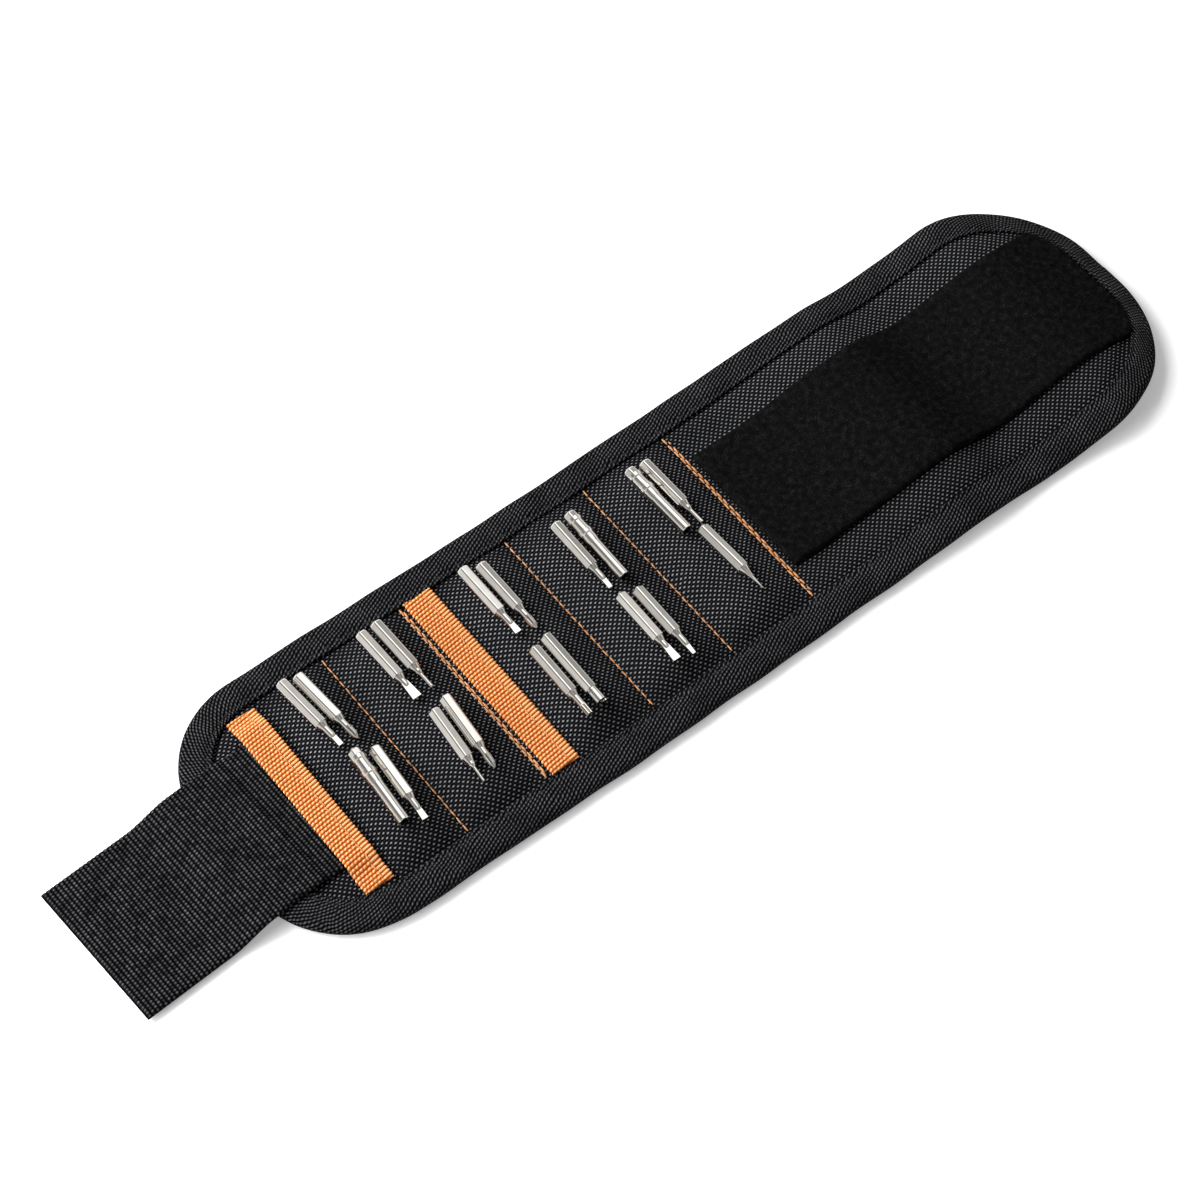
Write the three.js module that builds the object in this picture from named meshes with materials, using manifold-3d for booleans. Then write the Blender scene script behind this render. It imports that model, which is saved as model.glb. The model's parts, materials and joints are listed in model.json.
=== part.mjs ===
// A magnetic wristband for screws and bits, laid flat. Millimetres, +Z up.
// +X runs along the band from the strap end to the loop end, and +Y across it.
import * as THREE from 'three';
import Module from 'manifold-3d';
import { mergeVertices } from 'three/addons/utils/BufferGeometryUtils.js';

const wasm = await Module();
wasm.setup();

// Plan of the band
const bandWidth = 95;
const tailCornerRadius = 34;
const farCornerRadius = 40;
const tailLength = 35.5;
const pocketOneLength = 24.5;
const pocketTwoLength = 29.5;
const pocketThreeLength = 27;
const pocketFourLength = 30;
const pocketFiveLength = 31;
const loopNearLength = 64;
const loopFarLength = 87;

// Layers of the sewn edge, from the wrist up
const bindingLift = 0.2;
const bindingThickness = 0.9;
const bindingFace = 10.25;
const meshThickness = 1.1;
const clothThickness = 0.8;
const sewnGap = 0.25;
const clothInset = 1.2;

// Pockets and what they hold
const foamThickness = 1.4;
const seamAllowance = 1.4;
const magnetWidth = 13;
const magnetLength = 52;
const magnetThickness = 2;
const magnetTopGap = 0.4;

// Strap, its hook tape, and the orange tapes
const strapWidth = 51;
const strapThickness = 1.7;
const strapReach = 46.5;
const strapSewnLength = 7.5;
const strapFall = 15;
const strapSkew = THREE.MathUtils.degToRad(3);
const strapOffset = 1.5;
const hookThickness = 1.2;
const hookMargin = 1;
const orangeTapeWidth = 10;
const orangeTapeThickness = 1.1;
const orangeTapeMargin = 0.6;
const strapTapeClearance = 0.6;

// Loop panel
const loopPanelWidth = 51;
const loopPanelThickness = 2.2;
const loopPanelMargin = 2.6;
const loopPanelEdgeGap = 0.35;

// Folds: the slit at each fold, and the angle that the wedge there leaves room for
const foldSlit = 0.2;
const strapFold = THREE.MathUtils.degToRad(78);
const pocketFold = THREE.MathUtils.degToRad(44);
const loopSeamFold = THREE.MathUtils.degToRad(62);
const loopEndFold = THREE.MathUtils.degToRad(104);
const strapLift = THREE.MathUtils.degToRad(30);

// Bits: a hexagon shank, a turned shoulder and neck, and the working tip
const bitLength = 28;
const bitAcrossFlats = 4;
const bitSeatGap = 0.3;
const shankLength = 17;
const shoulderRadius = 1.8;
const shoulderLength = 0.4;
const neckTaper = 2;
const neckRadius = 1.15;
const rootDepth = 1;
const bladeLength = 4;
const crossLength = 3;
const crossPointRadius = 0.3;
const crossWeb = 0.5;
const starLength = 3.5;
const starOuterRadius = 1.1;
const starInnerRadius = 0.75;
const pinLength = 6;
const needleLength = 4;
const needleRootRadius = 0.5;
const needlePointRadius = 0.12;
const socketHeadLength = 5.5;
const collarRadius = 2.55;
const collarLength = 3.5;
const collarGroove = 2;
const collarSlope = 0.4;
const socketRadius = 2.15;
const socketAcrossFlats = 2.5;
const socketDepth = 4;
const notchWidth = 1;
const notchDepth = 4;
const notchedEndLength = 5;
const turnedSides = 12;

// Heights of the layers
const meshBottom = bindingLift + bindingThickness + sewnGap;
const meshTop = meshBottom + meshThickness;
const clothBottom = meshTop + sewnGap;
const clothTop = clothBottom + clothThickness;
const bindingTop = clothTop + sewnGap + bindingThickness;
const foldHeight = (clothBottom + clothTop) / 2;
const trimBottom = clothTop + sewnGap;

// Places along the band, from the strap end of the body
const tapeBed = orangeTapeWidth + 2 * orangeTapeMargin;
const fold0 = tailLength;
const fold1 = fold0 + pocketOneLength;
const fold2 = fold1 + pocketTwoLength;
const fold3 = fold2 + tapeBed + pocketThreeLength;
const fold4 = fold3 + pocketFourLength;
const fold5 = fold4 + pocketFiveLength;
const fold6 = fold5 + loopNearLength;
const bandLength = fold6 + loopFarLength;
const halfWidth = bandWidth / 2;
const seamHalf = halfWidth - bindingFace;
const beyond = bandWidth;

const finish = (name, color, roughness, metalness = 0) => (
  new THREE.MeshStandardMaterial({ name, color, roughness, metalness })
);
const materials = {
  cloth: finish('ballistic_nylon', 0x25262a, 0.8),
  binding: finish('ribbed_binding', 0x17181a, 0.75),
  mesh: finish('air_mesh', 0x1d1e20, 0.9),
  webbing: finish('strap_webbing', 0x1a1b1d, 0.8),
  hook: finish('hook_tape', 0x151517, 0.6),
  pile: finish('loop_pile', 0x0d0d0e, 1),
  orange: finish('orange_grosgrain', 0xf08a2c, 0.75),
  magnet: finish('magnet', 0x55565a, 0.4, 0.8),
  steel: finish('plated_steel', 0xb9b4aa, 0.3, 1),
};

const band = new THREE.Group();

// A closed geometry as a solid that can be joined and cut
function solid(geometry) {
  const bare = geometry.index ? geometry.toNonIndexed() : geometry.clone();
  bare.deleteAttribute('normal');
  bare.deleteAttribute('uv');
  const merged = mergeVertices(bare, 1e-4);
  const vertProperties = Float32Array.from(merged.attributes.position.array);
  const triVerts = Uint32Array.from(merged.index.array);
  return new wasm.Manifold(new wasm.Mesh({ numProp: 3, vertProperties, triVerts }));
}

// A finished solid as a named mesh with its own material
function addPiece(name, body, material, parent = band) {
  const { vertProperties, triVerts } = body.getMesh();
  const geometry = new THREE.BufferGeometry();
  geometry.setAttribute('position', new THREE.BufferAttribute(Float32Array.from(vertProperties), 3));
  geometry.setIndex(new THREE.BufferAttribute(Uint32Array.from(triVerts), 1));
  geometry.computeVertexNormals();
  const mesh = new THREE.Mesh(geometry, material.clone());
  mesh.name = name;
  parent.add(mesh);
  return mesh;
}

// A plan outline raised between two heights
function plate(shape, bottom, top) {
  const depth = top - bottom;
  const geometry = new THREE.ExtrudeGeometry(shape, { depth, bevelEnabled: false, curveSegments: 10 });
  return solid(geometry.translate(0, 0, bottom));
}

// A rectangular block from its low and high corners
function block(x0, x1, y0, y1, z0, z1) {
  const geometry = new THREE.BoxGeometry(x1 - x0, y1 - y0, z1 - z0);
  return solid(geometry.translate((x0 + x1) / 2, (y0 + y1) / 2, (z0 + z1) / 2));
}

// A side outline of [x, z] points carried across the band between two y places
function acrossBand(points, y0, y1) {
  const shape = new THREE.Shape(points.map(([x, z]) => new THREE.Vector2(x, z)));
  const geometry = new THREE.ExtrudeGeometry(shape, { depth: y1 - y0, bevelEnabled: false });
  return solid(geometry.rotateX(Math.PI / 2).translate(0, y1, 0));
}

// The band's plan with all its edges drawn in by the same amount
function bandOutline(inset) {
  const nearRadius = tailCornerRadius - inset;
  const farRadius = farCornerRadius - inset;
  const left = inset;
  const right = bandLength - inset;
  const edge = halfWidth - inset;
  const shape = new THREE.Shape();
  shape.moveTo(left + nearRadius, -edge);
  shape.lineTo(right - farRadius, -edge);
  shape.absarc(right - farRadius, -edge + farRadius, farRadius, -Math.PI / 2, 0, false);
  shape.absarc(right - farRadius, edge - farRadius, farRadius, 0, Math.PI / 2, false);
  shape.absarc(left + nearRadius, edge - nearRadius, nearRadius, Math.PI / 2, Math.PI, false);
  shape.absarc(left + nearRadius, -edge + nearRadius, nearRadius, Math.PI, 1.5 * Math.PI, false);
  return shape;
}

// How far the strap end's outline lies from x = 0 at a distance y from the middle line
function tailEdgeAt(inset, y) {
  const radius = tailCornerRadius - inset;
  const rise = Math.max(0, y - (halfWidth - tailCornerRadius));
  return inset + radius - Math.sqrt(Math.max(0, radius * radius - rise * rise));
}

// Half the width of the strap end's outline at a place x
function tailHalfAt(inset, x) {
  const radius = tailCornerRadius - inset;
  const run = Math.max(0, tailCornerRadius - x);
  return halfWidth - tailCornerRadius + Math.sqrt(Math.max(0, radius * radius - run * run));
}

// The room between two folds: wedges leave space to curl down and, where given, to lift
function stretch(from, to) {
  const top = trimBottom + 2 * (magnetThickness + foamThickness) + strapThickness + loopPanelThickness;
  const bottom = -bindingThickness;
  const left = from.x + foldSlit;
  const right = to.x - foldSlit;
  const down = foldHeight - bottom;
  const up = top - foldHeight;
  return acrossBand([
    [left + down * Math.tan(from.curl / 2), bottom],
    [right - down * Math.tan(to.curl / 2), bottom],
    [right, foldHeight],
    [right - up * Math.tan(to.lift / 2), top],
    [left + up * Math.tan(from.lift / 2), top],
    [left, foldHeight],
  ], -beyond, beyond);
}

const fold = (x, curl, lift = 0) => ({ x, curl, lift });
const folds = [
  fold(-beyond, 0),
  fold(fold0, strapFold, strapLift),
  fold(fold1, pocketFold),
  fold(fold2, pocketFold),
  fold(fold3, pocketFold),
  fold(fold4, pocketFold),
  fold(fold5, loopSeamFold),
  fold(fold6, loopEndFold),
  fold(bandLength + beyond, 0),
];
const stretches = folds.slice(1).map((to, index) => stretch(folds[index], to));
const tail = 0;
const loopNear = 6;
const loopFar = 7;

// Whole-length layers, cut into stretches below
const meshLayer = plate(bandOutline(clothInset), meshBottom, meshTop)
  .add(plate(bandOutline(bindingFace + 2 * sewnGap), 0, meshTop));
const clothLayer = plate(bandOutline(clothInset), clothBottom, clothTop);
const bindingLayer = plate(bandOutline(0), bindingLift, bindingTop)
  .subtract(plate(bandOutline(bindingThickness), meshBottom - sewnGap, clothTop + sewnGap))
  .subtract(plate(bandOutline(bindingFace), -beyond, beyond));

// Binding, cut at the folds: one piece round each end and a pair along each stretch between
const upperSide = block(-beyond, bandLength + beyond, 0, beyond, -beyond, beyond);
const lowerSide = block(-beyond, bandLength + beyond, -beyond, 0, -beyond, beyond);
addPiece('tail_binding', bindingLayer.intersect(stretches[tail]), materials.binding);
for (let index = 1; index <= loopNear; index += 1) {
  const name = index === loopNear ? 'near' : index;
  const pair = bindingLayer.intersect(stretches[index]);
  addPiece(`upper_binding_${name}`, pair.intersect(upperSide), materials.binding);
  addPiece(`lower_binding_${name}`, pair.intersect(lowerSide), materials.binding);
}
addPiece('far_binding', bindingLayer.intersect(stretches[loopFar]), materials.binding);

// Back mesh and the flat stretches of the front cloth
const stretchNames = ['tail', '1', '2', '3', '4', '5', 'near', 'far'];
stretchNames.forEach((name, index) => {
  addPiece(`back_mesh_${name}`, meshLayer.intersect(stretches[index]), materials.mesh);
});
for (const index of [tail, loopNear, loopFar]) {
  addPiece(`front_cloth_${stretchNames[index]}`, clothLayer.intersect(stretches[index]), materials.cloth);
}

// Share of the crown's height at a place in a pocket: full in the middle, nothing at the seams
function crownShare(u, v) {
  return (1 - Math.abs(u) ** 4) * (1 - Math.abs(v) ** 8);
}

// A crowned cushion form on a flat base, with its sides drawn in to the seams
function cushion(x0, x1, half, base, edge, rise) {
  const columns = 10;
  const rows = 14;
  const top = [];
  const bottom = [];
  for (let row = 0; row <= rows; row += 1) {
    const v = Math.sin((row / rows - 0.5) * Math.PI);
    for (let column = 0; column <= columns; column += 1) {
      const u = Math.sin((column / columns - 0.5) * Math.PI);
      const x = (x0 + x1) / 2 + (u * (x1 - x0)) / 2;
      top.push(x, v * half, edge + rise * crownShare(u, v));
      bottom.push(x, v * half, base);
    }
  }
  const across = columns + 1;
  const under = across * (rows + 1);
  const faces = [];
  const quad = (a, b, c, d) => faces.push(a, b, c, a, c, d);
  for (let row = 0; row < rows; row += 1) {
    for (let column = 0; column < columns; column += 1) {
      const a = row * across + column;
      quad(a, a + 1, a + 1 + across, a + across);
      quad(a + under, a + across + under, a + 1 + across + under, a + 1 + under);
    }
    const west = row * across;
    const east = west + columns;
    quad(west, west + across, west + across + under, west + under);
    quad(east + under, east + across + under, east + across, east);
  }
  for (let column = 0; column < columns; column += 1) {
    const north = rows * across + column;
    quad(column, column + under, column + 1 + under, column + 1);
    quad(north, north + 1, north + 1 + under, north + under);
  }
  const geometry = new THREE.BufferGeometry();
  geometry.setAttribute('position', new THREE.Float32BufferAttribute([...top, ...bottom], 3));
  geometry.setIndex(faces);
  return solid(geometry);
}

// Pockets: a padded cover, hollow underneath, over a flat bar magnet.
// The hollow rises just enough to clear the magnet's corners, and the crown adds the foam.
const crownHalf = seamHalf - sewnGap;
const hollowHalf = seamHalf - seamAllowance;
function pocketBetween(start, end) {
  const hollowRun = (end - start) / 2 - seamAllowance;
  const cornerShare = crownShare(magnetWidth / 2 / hollowRun, magnetLength / 2 / hollowHalf);
  const hollowRise = (magnetThickness + magnetTopGap) / cornerShare;
  return { start, end, hollowRise, crownRise: hollowRise + foamThickness };
}
const pockets = [
  pocketBetween(fold0, fold1),
  pocketBetween(fold1, fold2),
  pocketBetween(fold2 + tapeBed, fold3),
  pocketBetween(fold3, fold4),
  pocketBetween(fold4, fold5),
];
pockets.forEach(({ start, end, hollowRise, crownRise }, index) => {
  const number = index + 1;
  const crown = cushion(start + foldSlit, end - foldSlit, crownHalf, clothBottom, clothTop, crownRise);
  const hollowStart = start + seamAllowance;
  const hollowEnd = end - seamAllowance;
  const hollow = cushion(hollowStart, hollowEnd, hollowHalf, meshTop, clothBottom, hollowRise);
  const cover = clothLayer.add(crown).intersect(stretches[number]).subtract(hollow);
  addPiece(`pocket_cover_${number}`, cover, materials.cloth);
  const middle = (start + end) / 2;
  const bar = block(middle - magnetWidth / 2, middle + magnetWidth / 2, -magnetLength / 2, magnetLength / 2,
    clothBottom, clothBottom + magnetThickness);
  addPiece(`magnet_${number}`, bar, materials.magnet);
});

// Strap: sewn down inside the band, over the binding and down to the surface beyond
const strapHalf = strapWidth / 2;
const sewnEnd = fold0 - orangeTapeMargin - orangeTapeWidth / 2 + strapSewnLength / 2;
const skewRun = strapHalf * Math.tan(strapSkew) + foldSlit;
const rampEnd = tailEdgeAt(bindingFace, strapHalf + strapOffset) + skewRun;
const rampStart = rampEnd + 2 * (bindingTop - clothTop);
const fallStart = -skewRun;
const fallEnd = fallStart - strapFall;
const strapTip = -strapReach;
const strapLow = hookThickness + sewnGap;
const strapLine = [
  [sewnEnd, trimBottom],
  [rampStart, trimBottom],
  [rampEnd, bindingTop + sewnGap],
  [fallStart, bindingTop + sewnGap],
  [fallEnd, strapLow],
  [strapTip, strapLow],
];
const raised = (line, rise) => line.map(([x, z]) => [x, z + rise]);
const ribbon = (line, thickness) => [...line, ...raised(line, thickness).reverse()];
const strap = new THREE.Group();
strap.position.set(sewnEnd, strapOffset, 0);
strap.rotation.z = strapSkew;
band.add(strap);
const fromSewnEnd = (line) => line.map(([x, z]) => [x - sewnEnd, z]);
const strapBody = acrossBand(fromSewnEnd(ribbon(strapLine, strapThickness)), -strapHalf, strapHalf);
addPiece('strap_webbing', strapBody, materials.webbing, strap);
const hookLine = [[fallEnd, 0], [strapTip + hookMargin, 0]];
const hookHalf = strapHalf - hookMargin;
const hookBody = acrossBand(fromSewnEnd(ribbon(hookLine, hookThickness)), -hookHalf, hookHalf);
addPiece('hook_tape', hookBody, materials.hook, strap);

// Orange tape over the strap's sewn end: it steps up over the strap and down to the cloth
const coverRight = fold0 - orangeTapeMargin;
const coverLeft = coverRight - orangeTapeWidth;
const coverHalf = tailHalfAt(bindingFace, coverLeft) - sewnGap;
const stepTop = trimBottom + strapThickness + sewnGap;
const stepOuter = strapHalf + strapTapeClearance;
const stepFoot = stepOuter + stepTop - trimBottom;
const coverLine = [
  [-coverHalf, trimBottom],
  [strapOffset - stepFoot, trimBottom],
  [strapOffset - stepOuter, stepTop],
  [strapOffset + stepOuter, stepTop],
  [strapOffset + stepFoot, trimBottom],
  [coverHalf, trimBottom],
];
const coverTape = acrossBand(ribbon(coverLine, orangeTapeThickness), -orangeTapeWidth, 0)
  .rotate([0, 0, 90]).translate([coverLeft, 0, 0]);
addPiece('strap_cover_tape', coverTape, materials.orange);

// Orange tape at the third pocket
const tapeLeft = fold2 + orangeTapeMargin;
const pocketTape = block(tapeLeft, tapeLeft + orangeTapeWidth, -crownHalf, crownHalf,
  trimBottom, trimBottom + orangeTapeThickness);
addPiece('pocket_tape', pocketTape, materials.orange);

// Loop panel, in two pieces that bend with the loop end
const panelHalf = loopPanelWidth / 2;
const panelTop = trimBottom + loopPanelThickness;
const loopPanel = plate(bandOutline(bindingFace + loopPanelEdgeGap), trimBottom, panelTop)
  .intersect(block(fold5 + loopPanelMargin, bandLength, -panelHalf, panelHalf, 0, beyond));
addPiece('loop_panel_near', loopPanel.intersect(stretches[loopNear]), materials.pile);
addPiece('loop_panel_far', loopPanel.intersect(stretches[loopFar]), materials.pile);

// Bits are made upright, with the head at z = 0 and the tip at z = bitLength
function ringOfPoints(count, radiusAt) {
  const points = Array.from({ length: count }, (_, index) => {
    const angle = (index * 2 * Math.PI) / count;
    return new THREE.Vector2(Math.cos(angle), Math.sin(angle)).multiplyScalar(radiusAt(index));
  });
  return new THREE.Shape(points);
}

function hexRod(acrossFlats, bottom, top) {
  return plate(ringOfPoints(6, () => acrossFlats / Math.sqrt(3)), bottom, top);
}

// A round solid from its [radius, height] outline
function turned(outline) {
  const closed = [[0, outline[0][1]], ...outline, [0, outline[outline.length - 1][1]]];
  const points = closed.map(([radius, height]) => new THREE.Vector2(radius, height));
  return solid(new THREE.LatheGeometry(points, turnedSides).rotateX(Math.PI / 2));
}

const shank = () => hexRod(bitAcrossFlats, 0, shankLength);
const neckStart = shankLength + shoulderLength + neckTaper;
const shoulderAndNeck = (...rest) => turned([
  [shoulderRadius, shankLength - rootDepth],
  [shoulderRadius, shankLength + shoulderLength],
  [neckRadius, neckStart],
  ...rest,
]);

function bladeBit(width, thickness) {
  const start = bitLength - bladeLength;
  const blade = block(-width / 2, width / 2, -thickness / 2, thickness / 2, start - rootDepth, bitLength);
  return shank().add(shoulderAndNeck([neckRadius, start])).add(blade);
}

function crossBit() {
  const start = bitLength - crossLength;
  const web = crossWeb / 2;
  const flute = block(web, bitAcrossFlats, web, bitAcrossFlats, start, bitLength + rootDepth);
  const cone = shoulderAndNeck([neckRadius, start], [crossPointRadius, bitLength]);
  const fluted = [0, 90, 180, 270].reduce((body, angle) => body.subtract(flute.rotate([0, 0, angle])), cone);
  return shank().add(fluted);
}

function starBit() {
  const start = bitLength - starLength;
  const star = ringOfPoints(12, (index) => (index % 2 === 0 ? starOuterRadius : starInnerRadius));
  return shank().add(shoulderAndNeck([neckRadius, start])).add(plate(star, start - rootDepth, bitLength));
}

function pinBit(radius) {
  const start = bitLength - pinLength;
  const pin = turned([[radius, start - rootDepth], [radius, bitLength]]);
  return shank().add(shoulderAndNeck([neckRadius, start])).add(pin);
}

function needleBit() {
  const point = [[needleRootRadius, bitLength - needleLength], [needlePointRadius, bitLength]];
  return shank().add(shoulderAndNeck(...point));
}

function socketBit() {
  const firstEnd = socketHeadLength + collarLength;
  const secondStart = firstEnd + collarGroove;
  const secondEnd = secondStart + collarLength;
  const collars = turned([
    [collarRadius, socketHeadLength],
    [collarRadius, firstEnd],
    [shoulderRadius, firstEnd + collarSlope],
    [shoulderRadius, secondStart - collarSlope],
    [collarRadius, secondStart],
    [collarRadius, secondEnd],
    [socketRadius, secondEnd + collarSlope],
    [socketRadius, bitLength],
  ]);
  const hollow = hexRod(socketAcrossFlats, bitLength - socketDepth, bitLength + rootDepth);
  return hexRod(bitAcrossFlats, 0, socketHeadLength + rootDepth).add(collars).subtract(hollow);
}

function notchedBit() {
  const start = bitLength - notchedEndLength;
  const roundEnd = turned([[shoulderRadius, start - rootDepth], [shoulderRadius, bitLength]]);
  const notch = block(-bitAcrossFlats, bitAcrossFlats, -notchWidth / 2, notchWidth / 2,
    bitLength - notchDepth, bitLength + rootDepth);
  return hexRod(bitAcrossFlats, 0, start).add(roundEnd).subtract(notch);
}

// Each bit: its kind, its pocket, its place from the pocket's middle and its turn in degrees
const bladeKind = (width, thickness) => ({ kind: 'slotted', make: () => bladeBit(width, thickness) });
const pinKind = (radius) => ({ kind: 'pin', make: () => pinBit(radius) });
const crossKind = { kind: 'cross', make: crossBit };
const socketKind = { kind: 'socket', make: socketBit };
const laidBits = [
  { ...bladeKind(1.6, 0.5), pocket: 1, along: -2.5, across: 20, turn: 4 },
  { ...crossKind, pocket: 1, along: 2.6, across: 18.8, turn: 4 },
  { ...socketKind, pocket: 1, along: -1.2, across: -12, turn: -4 },
  { ...bladeKind(2, 0.6), pocket: 1, along: 4.2, across: -14.7, turn: -4 },
  { ...bladeKind(3, 0.7), pocket: 2, along: -2, across: 19.3, turn: 1 },
  { ...pinKind(0.6), pocket: 2, along: 3.5, across: 19.5, turn: 1 },
  { ...pinKind(0.45), pocket: 2, along: -2, across: -15.2, turn: -5 },
  { ...crossKind, pocket: 2, along: 3.2, across: -13.5, turn: -5 },
  { ...bladeKind(2.2, 0.6), pocket: 3, along: -4.6, across: 18.8, turn: 0 },
  { ...crossKind, pocket: 3, along: 0.6, across: 16.6, turn: 0 },
  { kind: 'star', make: starBit, pocket: 3, along: -4.8, across: -16.5, turn: -1 },
  { kind: 'notched', make: notchedBit, pocket: 3, along: 0.4, across: -15.2, turn: -1 },
  { ...bladeKind(1.4, 0.4), pocket: 4, along: -1.8, across: 14.3, turn: -1 },
  { ...socketKind, pocket: 4, along: 3.6, across: 14.5, turn: -1 },
  { ...bladeKind(2.6, 0.6), pocket: 4, along: -1.8, across: -17.5, turn: -1 },
  { ...bladeKind(1.2, 0.4), pocket: 4, along: 3.4, across: -19, turn: -1 },
  { ...socketKind, pocket: 5, along: -2.4, across: 15.8, turn: 1 },
  { ...pinKind(0.7), pocket: 5, along: 3.1, across: 15.5, turn: 1 },
  { kind: 'needle', make: needleBit, pocket: 5, along: 2.5, across: -14, turn: 2 },
];

// The top of a pocket's cover at a place x, y
function coverTopAt({ start, end, crownRise }, x, y) {
  const half = (end - start) / 2 - foldSlit;
  const u = (x - (start + end) / 2) / half;
  return clothTop + crownRise * crownShare(u, y / crownHalf);
}

laidBits.forEach(({ kind, make, pocket, along, across, turn }, index) => {
  const bed = pockets[pocket - 1];
  const x = (bed.start + bed.end) / 2 + along;
  const reach = kind === 'socket' ? collarRadius : bitAcrossFlats / 2;
  const sides = [-bitAcrossFlats / 4, 0, bitAcrossFlats / 4];
  const seat = Math.max(...sides.map((side) => coverTopAt(bed, x + side, across)));
  const number = String(index + 1).padStart(2, '0');
  const laid = make().rotate([90, 0, 0]).translate([0, bitLength / 2, 0]);
  const bit = addPiece(`bit_${number}_${kind}`, laid, materials.steel);
  bit.position.set(x, across, seat + bitSeatGap + reach);
  bit.rotation.z = THREE.MathUtils.degToRad(turn);
});

// The origin is under the middle of the whole part
const extent = new THREE.Box3().setFromObject(band);
const middle = extent.getCenter(new THREE.Vector3());
band.position.set(-middle.x, -middle.y, -extent.min.z);

export default band;
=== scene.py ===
# %% [markdown]
# # Dressing a magnetic wristband
#
# A magnetic wristband holds screws and driver bits on the arm while someone works. It is a padded
# nylon band with flat magnets sewn into five pockets, a bound edge, a webbing strap with hook tape
# and a wide loop panel that the strap grips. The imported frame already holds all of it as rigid
# solids on hinges. This lesson puts cloth, tape, thread and plating around that frame. Sizes are in
# metres, X runs along the band, Y across it and Z up from the table.

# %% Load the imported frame
import json
import math
import random

import bmesh
import bpy
from mathutils import Matrix, Vector, noise

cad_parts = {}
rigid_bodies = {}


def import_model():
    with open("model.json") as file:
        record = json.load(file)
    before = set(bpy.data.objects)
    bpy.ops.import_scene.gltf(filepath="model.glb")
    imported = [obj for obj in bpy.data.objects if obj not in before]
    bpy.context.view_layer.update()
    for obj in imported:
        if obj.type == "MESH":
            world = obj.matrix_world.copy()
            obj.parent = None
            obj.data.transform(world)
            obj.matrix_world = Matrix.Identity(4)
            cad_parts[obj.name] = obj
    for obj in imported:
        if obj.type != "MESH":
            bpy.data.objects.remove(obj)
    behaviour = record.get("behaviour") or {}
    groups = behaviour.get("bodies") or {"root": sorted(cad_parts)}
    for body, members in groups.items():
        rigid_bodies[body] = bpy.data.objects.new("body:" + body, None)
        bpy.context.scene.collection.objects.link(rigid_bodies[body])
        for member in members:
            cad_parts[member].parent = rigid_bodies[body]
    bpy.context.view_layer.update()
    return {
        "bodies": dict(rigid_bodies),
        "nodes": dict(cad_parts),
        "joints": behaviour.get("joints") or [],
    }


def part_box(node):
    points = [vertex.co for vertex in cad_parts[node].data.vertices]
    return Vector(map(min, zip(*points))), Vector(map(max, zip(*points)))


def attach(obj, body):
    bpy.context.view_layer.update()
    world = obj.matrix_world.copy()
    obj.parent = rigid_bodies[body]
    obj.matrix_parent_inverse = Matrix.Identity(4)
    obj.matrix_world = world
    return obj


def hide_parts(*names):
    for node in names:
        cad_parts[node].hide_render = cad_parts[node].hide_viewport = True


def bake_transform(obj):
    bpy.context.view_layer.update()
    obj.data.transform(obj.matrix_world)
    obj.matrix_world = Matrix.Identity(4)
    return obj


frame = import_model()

MM = 0.001

# %% [markdown]
# ## Reading the band's plan
#
# The sewn rows are the hinges, so their places come from the joints. The outline and the layers
# come from the boxes of the CAD nodes. Only the two corner radii are typed in again, because a box
# can't tell them.

# %% Places along the band and heights of its layers
FOLD_JOINTS = ("strap_fold", "curl_1_to_2", "curl_2_to_3", "wrap",
               "curl_4_to_5", "curl_loop_seam", "curl_loop_end")
joint_named = {joint["name"]: joint for joint in frame["joints"]}
FOLDS = [joint_named[name]["pos_m"][0] for name in FOLD_JOINTS]
FOLD_Z = joint_named["wrap"]["pos_m"][2]
SEAM_FOLD = FOLDS[5]
HINGE_CLEAR = 0.04 * MM

BAND_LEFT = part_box("tail_binding")[0].x
BAND_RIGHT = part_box("far_binding")[1].x
HALF_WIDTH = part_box("far_binding")[1].y
SEAM_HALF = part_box("upper_binding_1")[0].y
EDGE_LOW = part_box("upper_binding_1")[0].z
EDGE_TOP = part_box("upper_binding_1")[1].z
CLOTH_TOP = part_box("front_cloth_tail")[1].z
TRIM_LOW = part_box("pocket_tape")[0].z
TAIL_CORNER = 34 * MM
FAR_CORNER = 40 * MM
TAIL_CENTRE = (BAND_LEFT + TAIL_CORNER, HALF_WIDTH - TAIL_CORNER)
FAR_CENTRE = (BAND_RIGHT - FAR_CORNER, HALF_WIDTH - FAR_CORNER)
FOLD_TURNS = [math.radians(joint_named[name]["range_deg"][1]) for name in FOLD_JOINTS]
print("folds at", [round(x / MM, 1) for x in FOLDS], "mm")


def room_at(fold, z):
    """How far a piece below a hinge must end short of the fold, so that it can close all the way."""
    return max(0, FOLD_Z - z) * math.tan(FOLD_TURNS[fold] / 2) + HINGE_CLEAR


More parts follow.
